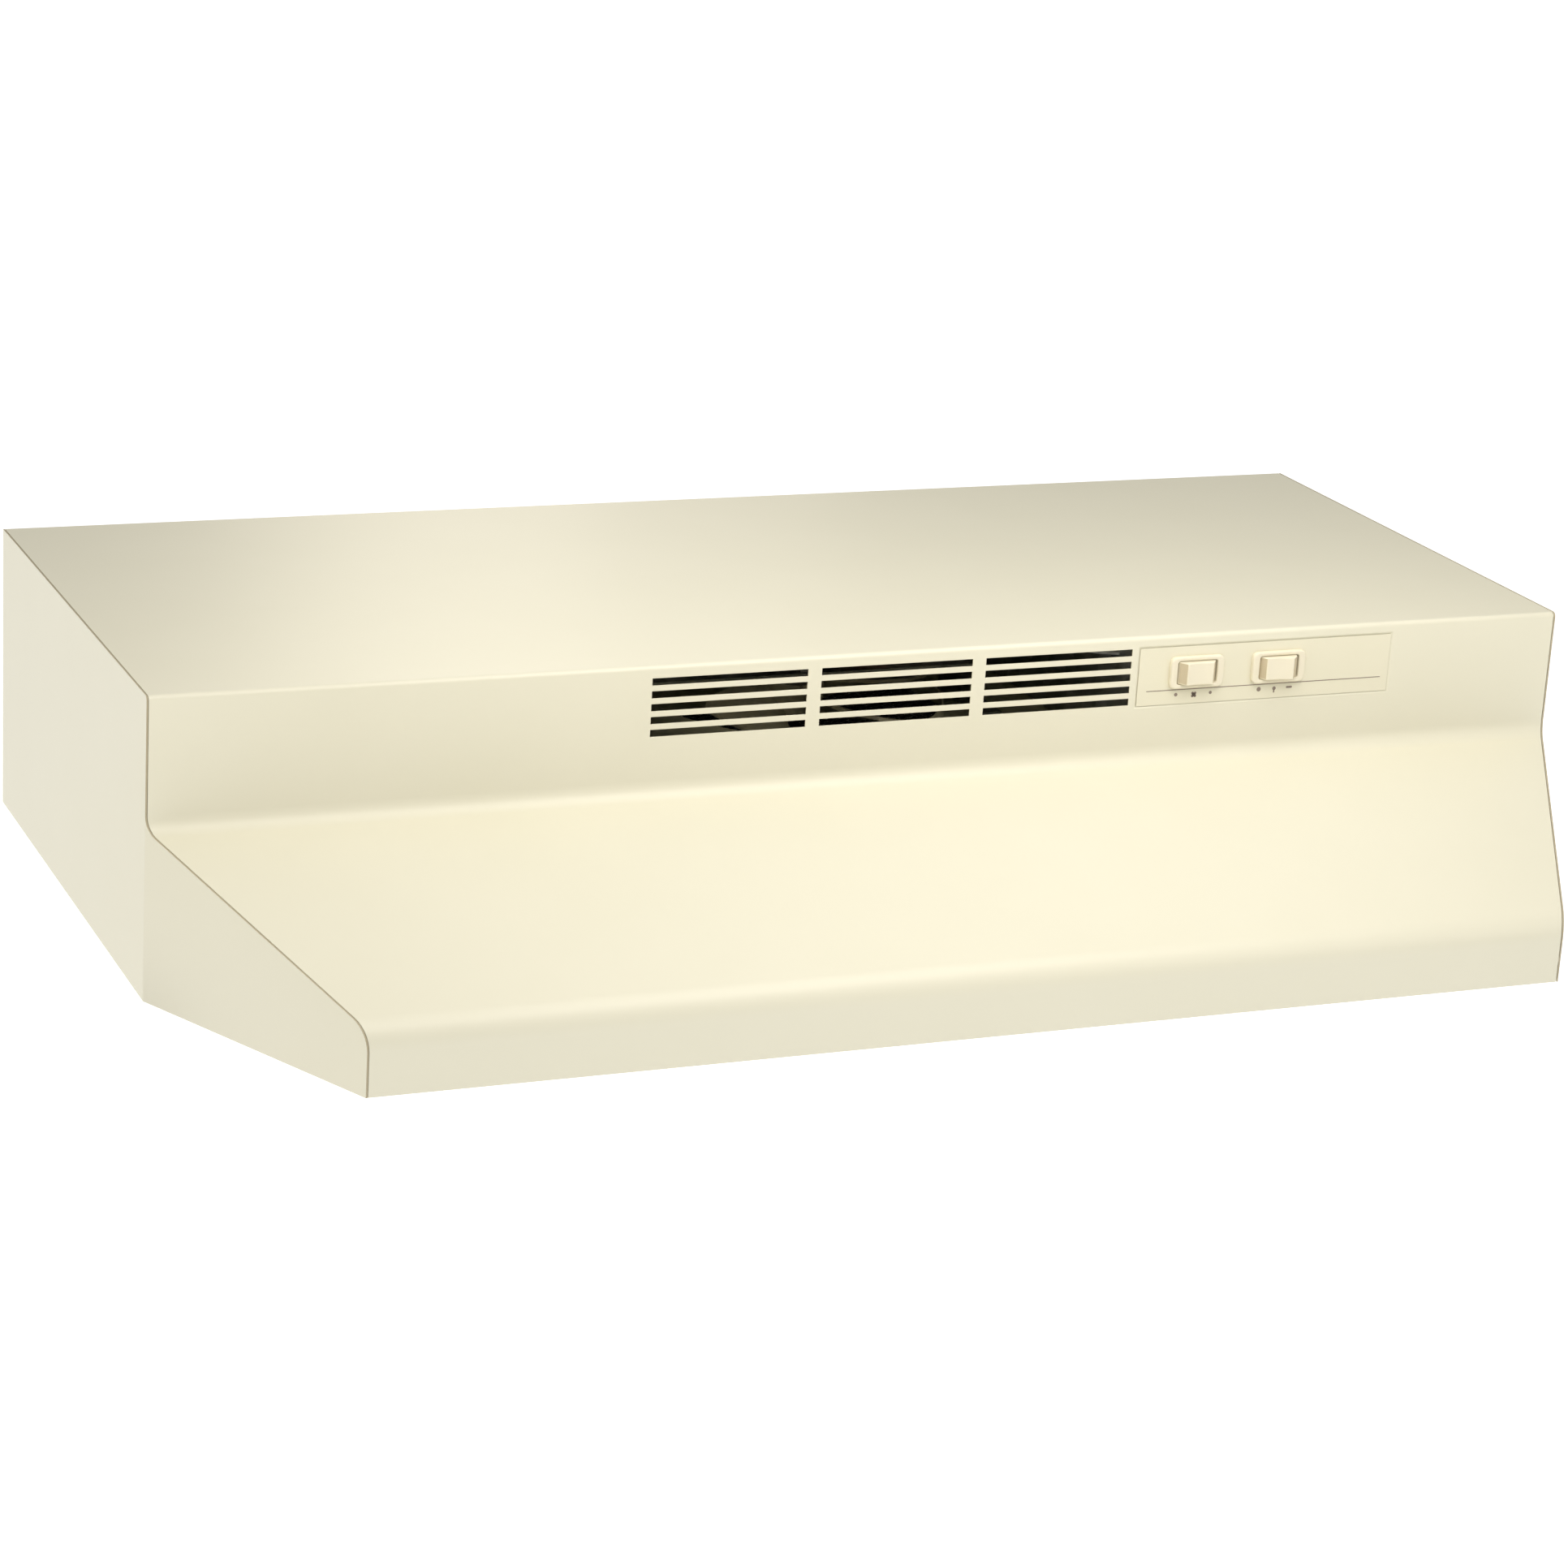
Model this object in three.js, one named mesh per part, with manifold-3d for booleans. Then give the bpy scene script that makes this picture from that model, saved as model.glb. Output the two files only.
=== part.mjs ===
// A 30 inch under cabinet range hood of the recirculating kind: a bent steel shell
// with a mitred visor, a fan chamber that blows out through front louvres, a
// filter that swings down, a lamp behind a lens, and two rocker switches.
//
// Millimetres. The origin is the centre of the top face, which is screwed up
// against the cabinet. +X is to the right of a person facing the hood, -Y is
// towards that person, and +Z is up.
import * as THREE from "three";
import { mergeVertices } from "three/addons/utils/BufferGeometryUtils.js";
import Module from "manifold-3d";

const wasm = await Module();
wasm.setup();

// ---- Driving dimensions --------------------------------------------------

const WIDTH = 762; // 30 in over the end panels
const DEPTH = 444.5; // 17.5 in, from the wall to the lip
const HEIGHT = 151; // 6 in nominal
const TOP_DEPTH = 304; // depth of the top face
const LIP_WIDTH = 628; // width at the lip, after the mitres
const SHEET = 0.8; // steel sheet
const GAP = 0.3; // clearance between pieces that touch
const LAP = SHEET + GAP; // where one sheet lies on another

const HALF = WIDTH / 2;
const BACK = TOP_DEPTH / 2; // y of the wall side
const FACE = -TOP_DEPTH / 2; // y of the upright front face
const LIP = BACK - DEPTH; // y of the lip
const VISOR_TOP = -65.4; // height where the front face turns into the visor
const VISOR_FALL = 53.5; // how far the visor drops on its way to the lip
const BEND_TOP = 2.5; // outside bend radii of the sheet
const BEND_VISOR = 10;
const BEND_LIP = 15;
const HEM = 10; // height of the folded hem along the bottom edges
const HEM_THICK = 2;
const FLANGE = 11; // width of the flanges that join one sheet to the next

// Louvres: three groups of five slots in the middle of the front face.
const SLOT = { wide: 82, high: 3.7, pitch: 6.55, top: -6.25, groups: 3, rows: 5, bar: 7.4 };

// Control recess, with walls at 45 degrees round its floor, and its two rocker switches.
const RECESS = { x0: 135, x1: 281.5, z0: -37, z1: -6.2, deep: 1 };
const LABEL_INSET = 0.5;
const SWITCH = { bezelWide: 30.8, bezelHigh: 17, z: -19.9, fanX: 167.8, lightX: 215.2, proud: 2.4 };
const SWITCH_BODY = { wide: 26.6, high: 12.8, deep: 24 };
const WELL = { wide: 22.6, high: 12.2, deep: 12.8 };
const ROCKER = {
  high: 11.5, base: 10.4, crown: 7.2, rise: 8.9, hollow: 0.7, shoulder: 4.2, sink: 4.4, taper: 1.6,
};
const ROCKER_PIVOT = FACE + 3; // y of both rocker pivots
const LIGHT_REST_TILT = 7; // degrees: the light rocker lies switched over to one side

// Fan chamber, fan and motor, about a vertical axis.
const FAN = { x: 0, y: -20, blade: 76, mouth: 80, bell: 8 };
const CHAMBER = { half: 141, y0: FACE + 2.4, y1: 110, top: -1.2, bottom: -71.9, flange: 10 };
const PLATE = { x: 151, z0: -73, z1: -72.2, y1: 120.8, upstand: -44 };
const CORE = { x0: -20, x1: 42, half: 24, z0: -34, z1: -14, bore: 13 };
const BOLT_Y = 19;
const SHAFT_R = 2.5;
const HUB = { r: 17, z0: -70, z1: -52 };
const BLADES = 5;
const BRIDGE = { z: -44.2, thick: 1.2, leg: 97, foot: 15, y0: -45, y1: 5 };

// Filter and what holds it.
const FILTER = { half: 133.5, y0: -131, y1: 91, z0: -86.7, z1: -77.2, rim: 12, skin: 0.6 };
const RAIL = { half: 120, lipY: 83, webY: 93.2, flangeY: 106 };
const CLIP_X = 80;
const CLIP_HALF = 9;

// Lamp compartment.
const LAMP = { x0: 155, x1: 249, y0: -95, y1: 75, z0: -72, z1: -1.2, axisZ: -37 };
const LAMP_X = (LAMP.x0 + LAMP.x1) / 2;
const LENS = { margin: 2.4, z0: -90, z1: -73.4, wall: 2 };
const SOCKET = { r: 17, y0: 40, y1: 70 };

// Wiring.
const BOX = { x0: 254, x1: 367, y0: 84, y1: 150.5, z0: -50, z1: -2.3 };
const KNOCKOUT = { x: 320, z: -26, r: 11.1 };
const COVER = { x0: 153, x1: 290, arm: 253, y0: FACE + 2.5, knee: -98, y1: 83.5, z0: -46, z1: -2.4 };
const LEAD_R = 1.5;
const LEAD_HOLE_R = 6; // where two leads pass through a wall
const MOTOR_LEADS = { y: -112, z: -18 };
const LAMP_LEADS = { y: 56, z: -12 };

const HOLE_R = 2.1; // clearance hole for the sheet metal screws
const SCREW = { shank: 1.7, head: 3.6, headHigh: 2.3 };

// ---- Materials -----------------------------------------------------------

function material(color, roughness, metalness = 0) {
  return new THREE.MeshStandardMaterial({ color, roughness, metalness });
}
const almond = material(0xf1ebd0, 0.38);
const almondPlastic = material(0xf3ead0, 0.45);
const labelFilm = material(0xefe9cf, 0.5);
const galvanised = material(0xb4b7b8, 0.45, 0.8);
const aluminium = material(0xc4c6c8, 0.4, 0.9);
const steel = material(0x9a9da0, 0.35, 0.9);
const lamination = material(0x5f6266, 0.6, 0.6);
const copper = material(0xb06a3a, 0.4, 0.8);
const bronze = material(0xa8814b, 0.5, 0.8);
const brass = material(0xc7a24e, 0.35, 0.9);
const carbon = material(0x16171a, 0.95);
const porcelain = material(0xf2f0ea, 0.3);
const frosted = material(0xf6f6f2, 0.5);
const lensPlastic = material(0xf4f4ee, 0.4);
const blackWire = material(0x202020, 0.6);
const whiteWire = material(0xe6e6e2, 0.6);
const redWire = material(0xa8322a, 0.6);
const nutPlastic = material(0xd9822b, 0.5);
const greenSteel = material(0x2f7a44, 0.5, 0.4);

// ---- Solids --------------------------------------------------------------

// A closed three.js geometry as a manifold-3d solid, for cutting and joining.
function solid(geometry) {
  const bare = geometry.clone();
  for (const name of Object.keys(bare.attributes)) {
    if (name !== "position") bare.deleteAttribute(name);
  }
  const merged = mergeVertices(bare, 1e-4);
  return new wasm.Manifold(
    new wasm.Mesh({
      numProp: 3,
      vertProperties: merged.attributes.position.array,
      triVerts: new Uint32Array(merged.index.array),
    }),
  );
}

function geometryOf(shape) {
  const mesh = shape.getMesh();
  const geometry = new THREE.BufferGeometry();
  geometry.setAttribute("position", new THREE.BufferAttribute(mesh.vertProperties, 3));
  geometry.setIndex(new THREE.BufferAttribute(mesh.triVerts, 1));
  const flat = geometry.toNonIndexed();
  flat.computeVertexNormals();
  return flat;
}

// Each corner is set to the given numbers, so that faces meant to be flush are exactly flush.
function box(x0, x1, y0, y1, z0, z1) {
  const geometry = new THREE.BoxGeometry();
  const corners = geometry.attributes.position;
  for (let i = 0; i < corners.count; i++) {
    corners.setXYZ(
      i,
      corners.getX(i) < 0 ? x0 : x1,
      corners.getY(i) < 0 ? y0 : y1,
      corners.getZ(i) < 0 ? z0 : z1,
    );
  }
  return solid(geometry);
}

// A box shell that is open on its low side, with its walls inside the given size.
function openBox(x0, x1, y0, y1, z0, z1, wall) {
  return box(x0, x1, y0, y1, z0, z1).subtract(
    box(x0 + wall, x1 - wall, y0 + wall, y1 - wall, z0 - 1, z1 - wall),
  );
}

// A round bar from a to b along one axis. u and v place it on the other two, in x, y, z order.
function bar(axis, radius, a, b, u, v, sides = 20) {
  const geometry = new THREE.CylinderGeometry(radius, radius, b - a, sides);
  const middle = (a + b) / 2;
  if (axis === "x") {
    geometry.rotateZ(-Math.PI / 2);
    geometry.translate(middle, u, v);
  } else if (axis === "y") {
    geometry.translate(u, middle, v);
  } else {
    geometry.rotateX(Math.PI / 2);
    geometry.translate(u, v, middle);
  }
  return solid(geometry);
}

function ring(axis, inner, outer, a, b, u, v, sides = 20) {
  return bar(axis, outer, a, b, u, v, sides).subtract(bar(axis, inner, a - 1, b + 1, u, v, sides));
}

function outline(points) {
  return new THREE.Shape(points.map(([a, b]) => new THREE.Vector2(a, b)));
}

// An outline in the YZ plane carried along X.
function alongX(points, x0, x1) {
  const geometry = new THREE.ExtrudeGeometry(outline(points), { depth: x1 - x0, bevelEnabled: false });
  const turn = new THREE.Matrix4().makeBasis(
    new THREE.Vector3(0, 1, 0),
    new THREE.Vector3(0, 0, 1),
    new THREE.Vector3(1, 0, 0),
  );
  geometry.applyMatrix4(turn);
  geometry.translate(x0, 0, 0);
  return solid(geometry);
}

// An outline in the XY plane carried along Z.
function alongZ(points, z0, z1) {
  const geometry = new THREE.ExtrudeGeometry(outline(points), { depth: z1 - z0, bevelEnabled: false });
  geometry.translate(0, 0, z0);
  return solid(geometry);
}

// A closed profile of [radius, distance along the axis] pairs, turned so that its faces point out.
function turned(profile, sides) {
  const points = profile.map(([r, along]) => new THREE.Vector2(r, along));
  if (THREE.ShapeUtils.area(points) < 0) points.reverse();
  return new THREE.LatheGeometry(points, sides);
}

// Turned about a line along Y through x, z.
function turnedAboutY(profile, x, z, sides = 24) {
  const geometry = turned(profile, sides);
  geometry.translate(x, 0, z);
  return solid(geometry);
}

// Turned about a vertical line through x, y.
function turnedAboutZ(profile, x, y, sides = 40) {
  const geometry = turned(profile, sides);
  geometry.rotateX(Math.PI / 2);
  geometry.translate(x, y, 0);
  return solid(geometry);
}

function joined(shapes) {
  return shapes.reduce((whole, piece) => whole.add(piece));
}

const hood = new THREE.Group();

// Adds one piece of the hood. pivot is the point that its mesh is placed by.
function piece(name, shape, look, pivot = [0, 0, 0], into = hood) {
  const geometry = geometryOf(shape);
  geometry.translate(-pivot[0], -pivot[1], -pivot[2]);
  const mesh = new THREE.Mesh(geometry, look);
  mesh.name = name;
  mesh.position.set(...pivot);
  into.add(mesh);
  return mesh;
}

// ---- Bent sheet ----------------------------------------------------------

// The corners of an open line moved sideways: a positive distance moves it to the left of its direction.
function offsetCorners(corners, distance) {
  const normals = corners.slice(1).map(([x, y], i) => {
    const dx = x - corners[i][0];
    const dy = y - corners[i][1];
    const length = Math.hypot(dx, dy);
    return [-dy / length, dx / length];
  });
  return corners.map(([x, y], i) => {
    const before = normals[Math.max(i - 1, 0)];
    const after = normals[Math.min(i, normals.length - 1)];
    const scale = distance / (1 + before[0] * after[0] + before[1] * after[1]);
    return [x + (before[0] + after[0]) * scale, y + (before[1] + after[1]) * scale];
  });
}

// The same line with its inner corners rounded by arcs. radii has one entry for each inner corner.
function filleted(corners, radii, steps = 7) {
  const points = [corners[0]];
  for (let i = 1; i < corners.length - 1; i++) {
    const at = new THREE.Vector2(...corners[i]);
    const back = new THREE.Vector2(...corners[i - 1]).sub(at).normalize();
    const on = new THREE.Vector2(...corners[i + 1]).sub(at).normalize();
    const half = Math.acos(back.dot(on)) / 2;
    const centre = back.clone().add(on).normalize().multiplyScalar(radii[i - 1] / Math.sin(half)).add(at);
    const tangent = radii[i - 1] / Math.tan(half);
    const start = back.clone().multiplyScalar(tangent).add(at).sub(centre);
    const end = on.clone().multiplyScalar(tangent).add(at).sub(centre);
    const sweep = Math.atan2(start.cross(end), start.dot(end));
    for (let k = 0; k <= steps; k++) {
      const turned = start.clone().rotateAround(new THREE.Vector2(), (sweep * k) / steps).add(centre);
      points.push([turned.x, turned.y]);
    }
  }
  points.push(corners[corners.length - 1]);
  return points;
}

// The shell's outer line in the YZ plane, from the wall over the top, down the front and visor to the lip.
const SHELL_CORNERS = [
  [BACK, 0],
  [FACE, 0],
  [FACE, VISOR_TOP],
  [LIP, VISOR_TOP - VISOR_FALL],
  [LIP, -HEIGHT],
];

// That line moved inwards by a distance, with its bends.
function shellLine(inwards) {
  const radii = [Math.max(BEND_TOP - inwards, 0.4), BEND_VISOR + inwards, BEND_LIP - inwards];
  return filleted(offsetCorners(SHELL_CORNERS, inwards), radii);
}

// The sheet between two distances inside the outer line, as a closed YZ outline.
function sheetProfile(from, to) {
  return [...shellLine(from), ...shellLine(to).reverse()];
}

// One end panel's line in plan, moved inwards, from the wall to a little past the lip.
// side is 1 for the right and -1 for the left.
function endLine(inwards, side) {
  const mitre = (HALF - LIP_WIDTH / 2) / (FACE - LIP);
  const past = 5;
  const line = [
    [HALF, BACK],
    [HALF, FACE],
    [LIP_WIDTH / 2 - mitre * past, LIP - past],
  ];
  return offsetCorners(line, -inwards).map(([x, y]) => [side * x, y]);
}

function planBetween(from, to, side) {
  return [...endLine(from, side), ...endLine(to, side).reverse()];
}

// ---- Shell ---------------------------------------------------------------

function louvreSlots() {
  const total = SLOT.groups * SLOT.wide + (SLOT.groups - 1) * SLOT.bar;
  const slots = [];
  for (let group = 0; group < SLOT.groups; group++) {
    const x0 = -total / 2 + group * (SLOT.wide + SLOT.bar);
    for (let row = 0; row < SLOT.rows; row++) {
      const z1 = SLOT.top - row * SLOT.pitch;
      slots.push(box(x0, x0 + SLOT.wide, FACE - 2, FACE + 2, z1 - SLOT.high, z1));
    }
  }
  return joined(slots);
}

// The space over the control recess, from its floor outwards, at a distance inside the outer face.
function recessSpace(inwards) {
  const floor = FACE + RECESS.deep + inwards;
  const corners = [];
  for (const y of [floor, FACE - 2]) {
    const grow = floor - y + inwards * Math.tan(Math.PI / 8);
    for (const x of [RECESS.x0 - grow, RECESS.x1 + grow]) {
      for (const z of [RECESS.z0 - grow, RECESS.z1 + grow]) {
        corners.push([x, y, z]);
      }
    }
  }
  return wasm.Manifold.hull(corners);
}

// A hole through the front face for one switch body.
function switchHole(x, margin) {
  const wide = SWITCH_BODY.wide / 2 + margin;
  const high = SWITCH_BODY.high / 2 + margin;
  return box(x - wide, x + wide, FACE - 5, FACE + 5, SWITCH.z - high, SWITCH.z + high);
}

// Top, upright front, visor and lip, bent from one sheet.
function hoodWrap() {
  const plan = [...endLine(LAP, 1), ...endLine(LAP, -1).reverse()];
  const sheet = alongX(sheetProfile(0, SHEET), -HALF, HALF);
  const hem = box(-HALF, HALF, LIP, LIP + HEM_THICK, -HEIGHT, -HEIGHT + HEM);
  const behindFace = box(0, HALF, FACE + SHEET / 2, FACE + BEND_VISOR, VISOR_TOP, 0);
  const tray = recessSpace(SHEET).intersect(behindFace);
  return joined([sheet, hem])
    .intersect(alongZ(plan, -HEIGHT, 0))
    .add(tray)
    .subtract(recessSpace(0))
    .subtract(louvreSlots())
    .subtract(switchHole(SWITCH.fanX, GAP))
    .subtract(switchHole(SWITCH.lightX, GAP));
}

// An end panel: a flat side bent inwards at the front face to make the mitre,
// with flanges that lie under the wrap and inside the back.
function endPanel(side) {
  const inside = alongX([...shellLine(0), [BACK, -HEIGHT]], -HALF, HALF);
  const wall = alongZ(planBetween(0, SHEET, side), -HEIGHT, 0).intersect(inside);
  const strip = alongZ(planBetween(SHEET / 2, FLANGE, side), -HEIGHT, 0);
  const kept = box(-HALF, HALF, LIP, BACK - LAP, -HEIGHT + HEM + 3, 0);
  const flange = alongX(sheetProfile(LAP, LAP + SHEET), -HALF, HALF).intersect(strip).intersect(kept);
  const rearFlange = box(
    HALF - FLANGE, HALF - SHEET / 2, BACK - LAP - SHEET, BACK - LAP, -HEIGHT + HEM, -LAP,
  );
  const rear = side > 0 ? rearFlange : rearFlange.mirror([1, 0, 0]);
  const hemLength = box(-HALF, HALF, LIP + HEM_THICK + 2, BACK, -HEIGHT, -HEIGHT + HEM);
  const hem = alongZ(planBetween(0, HEM_THICK, side), -HEIGHT, 0).intersect(hemLength);
  return joined([wall, flange, rear, hem]);
}

// The back, with a folded top flange, a hem, and the ring that scores the wiring knockout.
function backPanel() {
  const half = HALF - HEM_THICK - GAP;
  const topHalf = HALF - FLANGE - 1;
  const wall = box(-half, half, BACK - SHEET, BACK, -HEIGHT, -LAP);
  const flange = box(-topHalf, topHalf, BACK - FLANGE - 1, BACK, -LAP - SHEET, -LAP);
  const hem = box(-half, half, BACK - HEM_THICK, BACK, -HEIGHT, -HEIGHT + HEM);
  const { r, x, z } = KNOCKOUT;
  const score = ring("y", r - GAP, r, BACK - SHEET / 2, BACK + 1, x, z, 24);
  return joined([wall, flange, hem]).subtract(score);
}

piece("hood_wrap", hoodWrap(), almond);
piece("left_end_panel", endPanel(-1), almond);
piece("right_end_panel", endPanel(1), almond);
piece("back_panel", backPanel(), almond);

// ---- Fan chamber ---------------------------------------------------------

const PLATE_SCREWS = [
  [-146.5, -135],
  [146.5, -135],
  [-146.5, 105],
  [146.5, 105],
];
const BRACKET_SCREWS = [
  [-106, FAN.y],
  [106, FAN.y],
];
const RAIL_SCREWS = [
  [-100, 100],
  [100, 100],
];

function screwHoles(places, z0, z1) {
  return joined(places.map(([x, y]) => bar("z", HOLE_R, z0, z1, x, y, 12)));
}

// The three walls round the fan, open to the louvres at the front.
function fanChamber() {
  const { half, y0, y1, top, bottom, flange } = CHAMBER;
  const out = half + SHEET;
  const wide = out + flange;
  const walls = box(-out, out, y0, y1 + SHEET, bottom, top);
  const lower = box(-wide, wide, y0, y1 + SHEET + flange, bottom, bottom + SHEET);
  const upper = box(-wide, wide, y0, y1 + SHEET + flange, top - SHEET, top);
  const space = box(-half, half, y0 - 1, y1, bottom - 1, top + 1);
  const leadHole = bar("x", LEAD_HOLE_R, half - 1, out + 1, MOTOR_LEADS.y, MOTOR_LEADS.z, 16);
  return joined([walls, lower, upper])
    .subtract(space)
    .subtract(screwHoles(PLATE_SCREWS, bottom - 1, bottom + 2))
    .subtract(leadHole);
}

// The chamber's floor, with a bell mouth for the fan and an upstand against the front face.
function orificePlate() {
  const { x, z0, z1, y1, upstand } = PLATE;
  const outerR = FAN.mouth + FAN.bell;
  const innerR = FAN.mouth + SHEET;
  const lipTop = z0 + FAN.bell + 5;
  const above = lipTop + 1;
  const arc = (r) => {
    const points = [];
    for (let k = 1; k <= 4; k++) {
      const angle = (Math.PI / 8) * k;
      points.push([outerR - r * Math.sin(angle), z0 + FAN.bell - r * Math.cos(angle)]);
    }
    return points;
  };
  const outside = turnedAboutZ(
    [[0, z0 + 0.3], [outerR + 1, z0 + 0.3], ...arc(FAN.bell - SHEET), [innerR, lipTop], [0, lipTop]],
    FAN.x, FAN.y,
  );
  const inside = turnedAboutZ(
    [[0, z0 - 1], [outerR, z0 - 1], [outerR, z0], ...arc(FAN.bell), [FAN.mouth, above], [0, above]],
    FAN.x, FAN.y,
  );
  const sheet = box(-x, x, CHAMBER.y0, y1, z0, z1);
  const inner = CHAMBER.half - GAP;
  const front = box(-inner, inner, CHAMBER.y0, CHAMBER.y0 + SHEET, z0, upstand);
  return joined([sheet, outside, front])
    .subtract(inside)
    .subtract(screwHoles([...PLATE_SCREWS, ...BRACKET_SCREWS, ...RAIL_SCREWS], z0 - 1, z1 + 1));
}

// A pan head screw driven upwards. head is the height of the underside that it clamps.
function screwUp(x, y, head, tip) {
  return bar("z", SCREW.head, head - SCREW.headHigh, head, x, y, 12).add(
    bar("z", SCREW.shank, head - 1, tip, x, y, 12),
  );
}

piece("fan_chamber", fanChamber(), galvanised);
piece("orifice_plate", orificePlate(), almond);
PLATE_SCREWS.forEach(([x, y], i) => {
  piece(`plate_screw_${i + 1}`, screwUp(x, y, PLATE.z0 - GAP, PLATE.z0 + 7), steel);
});

// ---- Motor and fan -------------------------------------------------------

const MOTOR_BOLTS = [
  [FAN.x, FAN.y - BOLT_Y],
  [FAN.x, FAN.y + BOLT_Y],
];

// The strap that carries the motor over the bell mouth.
function motorBracket() {
  const { z, thick, leg, foot, y0, y1 } = BRIDGE;
  const low = PLATE.z1 + GAP;
  const deck = box(-leg - thick, leg + thick, y0, y1, z, z + thick);
  const legs = joined([-1, 1].map((s) => {
    const a = s > 0 ? leg : -leg - thick;
    return box(a, a + thick, y0, y1, low, z + thick);
  }));
  const feet = joined([-1, 1].map((s) => {
    const a = s > 0 ? leg : -leg - foot;
    return box(a, a + foot, y0, y1, low, low + thick);
  }));
  const window = bar("z", 9, z - 1, z + thick + 1, FAN.x, FAN.y, 20);
  return joined([deck, legs, feet])
    .subtract(window)
    .subtract(screwHoles(MOTOR_BOLTS, z - 1, z + thick + 1))
    .subtract(screwHoles(BRACKET_SCREWS, low - 1, low + thick + 1));
}

// Laminated core: the rotor turns in its bore and the coil sits on its far leg.
function statorCore() {
  const { x0, x1, half, z0, z1, bore } = CORE;
  return box(x0, x1, FAN.y - half, FAN.y + half, z0, z1)
    .subtract(bar("z", bore, z0 - 1, z1 + 1, FAN.x, FAN.y, 28))
    .subtract(box(17, 31, FAN.y - 10, FAN.y + 10, z0 - 1, z1 + 1))
    .subtract(screwHoles(MOTOR_BOLTS, z0 - 1, z1 + 1));
}

function statorCoil() {
  return box(22, 51, FAN.y - 9.5, FAN.y + 9.5, -41, -7).subtract(
    box(30.7, CORE.x1 + GAP, FAN.y - 10.5, FAN.y + 10.5, CORE.z0 - GAP, CORE.z1 + GAP),
  );
}

// A pressed strap with a cup for the bearing. near is the side against the core and far the outer side.
function bearingBracket(near, far) {
  const up = Math.sign(far - near);
  const [lo, hi] = [Math.min(near, far), Math.max(near, far)];
  const [s0, s1] = up > 0 ? [far - 2, far] : [far, far + 2];
  const strap = box(FAN.x - 6, FAN.x + 6, FAN.y - 24, FAN.y + 24, s0, s1);
  const posts = joined(MOTOR_BOLTS.map(([x, y]) => bar("z", 5, lo, hi, x, y, 16)));
  const [c0, c1] = up > 0 ? [far - 6.7, far] : [far, far + 6.7];
  const cup = bar("z", 8, c0, c1, FAN.x, FAN.y, 20);
  return joined([strap, posts, cup])
    .subtract(bar("z", 5.3, lo - 1, hi + 1, FAN.x, FAN.y, 20))
    .subtract(screwHoles(MOTOR_BOLTS, lo - 1, hi + 1));
}

function motorBolt([x, y]) {
  const head = bar("z", 3, -5, -2.6, x, y, 6);
  const shank = bar("z", 1.6, -47.5, -3, x, y, 12);
  const nut = bar("z", 3.4, BRIDGE.z - 2.7, BRIDGE.z - GAP, x, y, 6);
  return joined([head, shank, nut]);
}

// One fan blade as a twisted plate: its angle grows with the chord and its height falls along it.
function fanBlade(turn) {
  const along = 6;
  const across = 5;
  const root = HUB.r - 2;
  const thick = 1.8;
  const middle = (HUB.z0 + HUB.z1) / 2;
  const points = [];
  const index = [];
  for (const lift of [thick / 2, -thick / 2]) {
    for (let i = 0; i <= along; i++) {
      const share = i / along;
      const r = root + (FAN.blade - root) * share;
      const spread = 0.9 * (1 - 0.28 * share ** 4);
      for (let j = 0; j <= across; j++) {
        const chord = j / across - 0.5;
        const angle = turn + 0.25 * share + spread * chord;
        const height = middle + lift - (17 - 3 * share) * chord;
        points.push(r * Math.cos(angle) + FAN.x, r * Math.sin(angle) + FAN.y, height);
      }
    }
  }
  const row = across + 1;
  const layer = (along + 1) * row;
  for (let i = 0; i < along; i++) {
    for (let j = 0; j < across; j++) {
      const a = i * row + j;
      index.push(a, a + row, a + row + 1, a, a + row + 1, a + 1);
      const b = a + layer;
      index.push(b, b + row + 1, b + row, b, b + 1, b + row + 1);
    }
  }
  const edge = [];
  for (let j = 0; j < across; j++) edge.push(j);
  for (let i = 0; i < along; i++) edge.push(i * row + across);
  for (let j = across; j > 0; j--) edge.push(along * row + j);
  for (let i = along; i > 0; i--) edge.push(i * row);
  edge.forEach((a, k) => {
    const b = edge[(k + 1) % edge.length];
    index.push(a, b, b + layer, a, b + layer, a + layer);
  });
  const geometry = new THREE.BufferGeometry();
  geometry.setAttribute("position", new THREE.Float32BufferAttribute(points, 3));
  geometry.setIndex(index);
  return solid(geometry);
}

function fan() {
  const hub = bar("z", HUB.r, HUB.z0, HUB.z1, FAN.x, FAN.y, 30);
  const blades = [];
  for (let k = 0; k < BLADES; k++) blades.push(fanBlade((2 * Math.PI * k) / BLADES));
  return joined([hub, ...blades]).subtract(
    bar("z", SHAFT_R + GAP, HUB.z0 - 1, HUB.z1 + 1, FAN.x, FAN.y, 16),
  );
}

piece("motor_bracket", motorBracket(), galvanised);
piece("stator_core", statorCore(), lamination);
piece("stator_coil", statorCoil(), copper);
piece("upper_bearing_bracket", bearingBracket(CORE.z1 + GAP, -5.3), aluminium);
piece("lower_bearing_bracket", bearingBracket(CORE.z0 - GAP, -42.7), aluminium);
piece("upper_bearing", ring("z", SHAFT_R + 0.12, 5, -11.5, -6.5, FAN.x, FAN.y, 16), bronze);
piece("lower_bearing", ring("z", SHAFT_R + 0.12, 5, -41.5, -36.5, FAN.x, FAN.y, 16), bronze);
MOTOR_BOLTS.forEach((place, i) => {
  piece(`motor_bolt_${i + 1}`, motorBolt(place), steel);
});
BRACKET_SCREWS.forEach(([x, y], i) => {
  piece(`bracket_screw_${i + 1}`, screwUp(x, y, PLATE.z0 - GAP, PLATE.z0 + 8), steel);
});

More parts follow.
